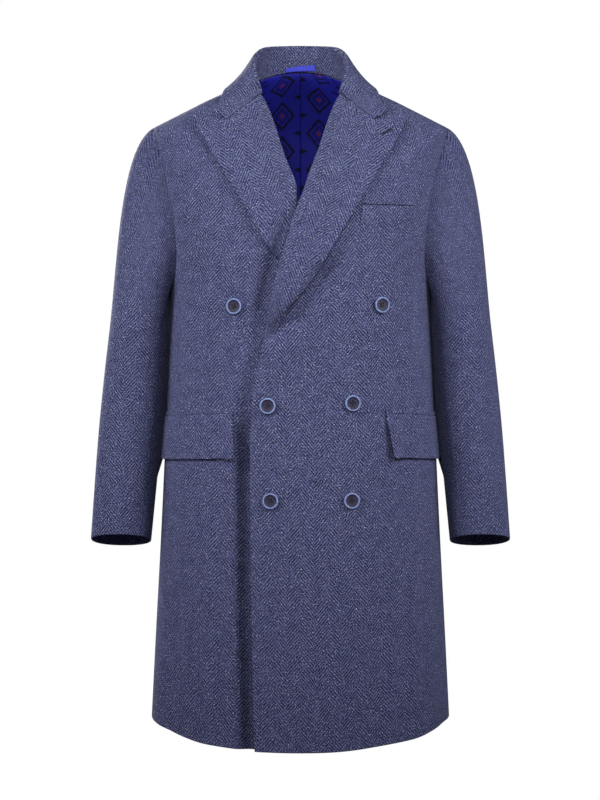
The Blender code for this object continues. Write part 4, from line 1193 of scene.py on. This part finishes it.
def horn_material():
    """Polished horn: cloudy dark face under a clear gloss, and a painted highlight on the rim: a pale blue
    band on its crest standing for the light it catches.
    """
    material = bpy.data.materials.new("polished_horn")
    material.use_nodes = True
    tree = material.node_tree
    shader = tree.nodes["Principled BSDF"]
    place = add_node(tree, "ShaderNodeUVMap", uv_map="cloth").outputs["UV"]
    cloud = add_node(tree, "ShaderNodeTexNoise",
                     {"Vector": place, "Scale": 330.0, "Detail": 3.0, "Distortion": 1.2})
    clouded = add_node(tree, "ShaderNodeMix", {0: cloud.outputs["Fac"], 6: HORN_DARK, 7: HORN_MIDDLE},
                       data_type="RGBA")
    from_centre = add_node(tree, "ShaderNodeVectorMath", {0: place}, operation="LENGTH").outputs["Value"]
    rising = add_node(tree, "ShaderNodeMapRange",
                      {"Value": from_centre, "From Min": RIM_INNER[0], "From Max": RIM_INNER[1]},
                      interpolation_type="SMOOTHSTEP").outputs[0]
    falling = add_node(tree, "ShaderNodeMapRange",
                       {"Value": from_centre, "From Min": RIM_OUTER[0], "From Max": RIM_OUTER[1]},
                       interpolation_type="SMOOTHSTEP").outputs[0]
    # Painted highlight: a band on the rim's crest, between these radii and broken by the cloud, is mixed
    # toward the pale rim colour.
    rim = math_node(tree, "MULTIPLY", rising, falling)
    rim = math_node(tree, "MULTIPLY", rim, math_node(tree, "MULTIPLY_ADD", cloud.outputs["Fac"], 1.2, 0.1))
    colour = add_node(tree, "ShaderNodeMix", {0: rim, 6: clouded.outputs[2], 7: HORN_RIM_HIGHLIGHT}, data_type="RGBA")
    tree.links.new(colour.outputs[2], shader.inputs["Base Color"])
    polish = add_node(tree, "ShaderNodeMapRange", {"Value": rising, "To Min": 0.52, "To Max": 0.18})
    tree.links.new(polish.outputs[0], shader.inputs["Roughness"])
    shader.inputs["Specular IOR Level"].default_value = 0.2
    return material


def thread_material(name, colour):
    """Twisted sewing thread."""
    material = bpy.data.materials.new(name)
    material.use_nodes = True
    tree = material.node_tree
    shader = tree.nodes["Principled BSDF"]
    place = add_node(tree, "ShaderNodeTexCoord").outputs["Object"]
    twist = add_node(tree, "ShaderNodeTexNoise", {"Vector": place, "Scale": 1500.0, "Detail": 2.0})
    paler = tuple(min(1.0, 3.0 * part) for part in colour[:3]) + (1,)
    tone = add_node(tree, "ShaderNodeMix", {0: twist.outputs["Fac"], 6: colour, 7: paler}, data_type="RGBA")
    tree.links.new(tone.outputs[2], shader.inputs["Base Color"])
    bump = add_node(tree, "ShaderNodeBump",
                    {"Height": twist.outputs["Fac"], "Strength": 0.4, "Distance": 0.0003})
    tree.links.new(bump.outputs["Normal"], shader.inputs["Normal"])
    shader.inputs["Roughness"].default_value = 0.7
    return material


def tube(path, radius, sides=8):
    """Points and faces of a closed-ended tube along a path."""
    path = np.asarray(path, float)
    way = np.gradient(path, axis=0)
    way /= np.linalg.norm(way, axis=-1, keepdims=True)
    hint = np.where(np.abs(way[:, 2:]) < 0.9, np.array([[0, 0, 1.0]]), np.array([[1.0, 0, 0]]))
    aside = np.cross(way, hint)
    aside /= np.linalg.norm(aside, axis=-1, keepdims=True)
    over = np.cross(aside, way)
    around = np.linspace(0, 2 * np.pi, sides, endpoint=False)[None, :, None]
    points = path[:, None] + (aside[:, None] * np.cos(around) + over[:, None] * np.sin(around)) * radius
    index = np.arange(len(path) * sides).reshape(len(path), sides)
    beside = np.roll(index, -1, axis=1)
    faces = np.stack([index[:-1], beside[:-1], beside[1:], index[1:]], axis=-1).reshape(-1, 4).tolist()
    faces += [index[0, ::-1].tolist(), index[-1].tolist()]
    return points.reshape(-1, 3), faces


horn = horn_material()
button_thread = thread_material("button_thread", THREAD_BLUE)


def button_mesh():
    """A button about its own axis, face up: points, faces, which faces are thread, and places."""
    corners = np.array(BUTTON_PROFILE)
    length = np.insert(np.cumsum(np.linalg.norm(np.diff(corners, axis=0), axis=1)), 0, 0)
    face_rows = np.linspace(0.0004, BUTTON_FACE, 18)
    rim_rows = np.linspace(BUTTON_FACE, length[-2], 24)
    at = np.unique(np.concatenate([face_rows, length[1:-1], rim_rows]))
    radius = np.interp(at, length, corners[:, 0])
    height = np.interp(at, length, corners[:, 1])
    turn = np.linspace(0, 2 * np.pi, BUTTON_AROUND, endpoint=False)
    x = radius[:, None] * np.cos(turn)
    y = radius[:, None] * np.sin(turn)
    z = np.repeat(height[:, None], BUTTON_AROUND, axis=1)
    holes = [(HOLE_RING * math.cos(a), HOLE_RING * math.sin(a)) for a in np.radians((45, 135, 225, 315))]
    for hole_x, hole_y in holes:
        away = np.hypot(x - hole_x, y - hole_y)
        facing = (at < BUTTON_FACE)[:, None]
        z = z - np.where(facing, HOLE_DEPTH * (1 - ease(away, 0.7 * HOLE_RADIUS, HOLE_RADIUS)), 0)
    points = np.stack([x, y, z], axis=-1).reshape(-1, 3)
    index = np.arange(len(points)).reshape(len(at), BUTTON_AROUND)
    beside = np.roll(index, -1, axis=1)
    faces = np.stack([index[:-1], index[1:], beside[1:], beside[:-1]], axis=-1).reshape(-1, 4).tolist()
    faces += [index[0].tolist(), index[-1, ::-1].tolist()]
    flat = points[:, :2]
    dark = np.zeros(len(faces), dtype=np.int32)
    middles = flat[np.array(faces[:-2])].mean(axis=1)
    for hole in holes:
        dark[:-2] |= np.hypot(*(middles - hole).T) < HOLE_RADIUS
    dark[:-2] &= np.repeat(at[:-1] < BUTTON_FACE, BUTTON_AROUND)
    top = BUTTON_PROFILE[0][1]
    bow = np.linspace(-1, 1, 13)
    for first, second in ((0, 2), (1, 3)):
        start = np.array([*holes[first], top])
        end = np.array([*holes[second], top])
        path = (start + end) / 2 + (end - start) / 2 * (bow * (1 + 0.12 * (1 - np.abs(bow))))[:, None]
        path[:, 2] += 0.0003 - 0.0018 * np.abs(bow) ** 6
        thread_points, thread_faces = tube(path, THREAD_RADIUS)
        faces += [[corner + len(points) for corner in face] for face in thread_faces]
        points = np.concatenate([points, thread_points])
        flat = np.concatenate([flat, thread_points[:, :2]])
    dark = np.concatenate([dark, np.ones(len(faces) - len(dark), dtype=np.int32)])
    return points, faces, dark, flat


for count, row in enumerate(BUTTONS, start=1):
    spec = dict(zip(BUTTON_COLUMNS, row))
    points, faces, dark, flat = button_mesh()
    out = Vector(normal(*find(spec["x"], spec["z"])))
    seat = Vector(on_front(spec["front"], spec["x"], spec["z"], np.array(BUTTON_SEAT)))
    turn_cos = math.cos(spec["turn"])
    turn_sin = math.sin(spec["turn"])
    spin = np.array([[turn_cos, -turn_sin], [turn_sin, turn_cos]])
    points[:, :2] = points[:, :2] @ spin.T
    points = points @ np.array(out.to_track_quat("Z", "Y").to_matrix()).T + np.array(seat)
    mesh = bpy.data.meshes.new(f"horn_button_{count}")
    mesh.from_pydata(points.tolist(), [], faces)
    mesh.shade_smooth()
    layer = mesh.uv_layers.new(name="cloth")
    corners = np.empty(len(mesh.loops), dtype=np.int32)
    mesh.loops.foreach_get("vertex_index", corners)
    layer.data.foreach_set("uv", flat[corners].astype(np.float32).ravel())
    mesh.materials.append(horn)
    mesh.materials.append(button_thread)
    mesh.polygons.foreach_set("material_index", dark)
    button = bpy.data.objects.new(f"horn_button_{count}", mesh)
    bpy.context.scene.collection.objects.link(button)
    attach(button, "root")
    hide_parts(f"button_{count}")

# Lapel buttonhole: a worked slit near the left lapel's peak, with dark blue thread wound round
# both of its lips. Nothing passes through it.
BUTTONHOLE_ENDS = ((0.1241, -0.0828), (0.1396, -0.0751))
BUTTONHOLE_HALF_WIDTH = 0.0008
BUTTONHOLE_THREAD = 0.0008
BUTTONHOLE_WINDS = 34
BUTTONHOLE_STAND = 0.0010
way = np.linspace(0, 2 * np.pi, 160, endpoint=False)
start, end = np.array(BUTTONHOLE_ENDS)
reach_along = (end - start) / 2
across_hole = np.array([-reach_along[1], reach_along[0]]) / np.linalg.norm(reach_along)
bent = np.sign(np.cos(way)) * np.abs(np.cos(way)) ** 0.35
ring_places = ((start + end) / 2 + reach_along * bent[:, None]
               + across_hole * (BUTTONHOLE_HALF_WIDTH * np.sin(way))[:, None])
wound = BUTTONHOLE_THREAD * 0.35 * np.sin(BUTTONHOLE_WINDS * way)
lapel_top = LYING + LAPEL_WALL + LAPEL_BELLY + LAPEL_TOP_LIFT * ease(ring_places[:, 1], *LAPEL_TOP_RAMP)
ring_path = on_front("left", ring_places[:, 0], ring_places[:, 1], lapel_top + BUTTONHOLE_STAND + wound)
points, faces = tube(np.concatenate([ring_path, ring_path[:2]]), BUTTONHOLE_THREAD)
mesh = bpy.data.meshes.new("lapel_buttonhole")
mesh.from_pydata(points.tolist(), [], faces)
mesh.shade_smooth()
mesh.materials.append(button_thread)
buttonhole = bpy.data.objects.new("lapel_buttonhole", mesh)
bpy.context.scene.collection.objects.link(buttonhole)
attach(buttonhole, "root")
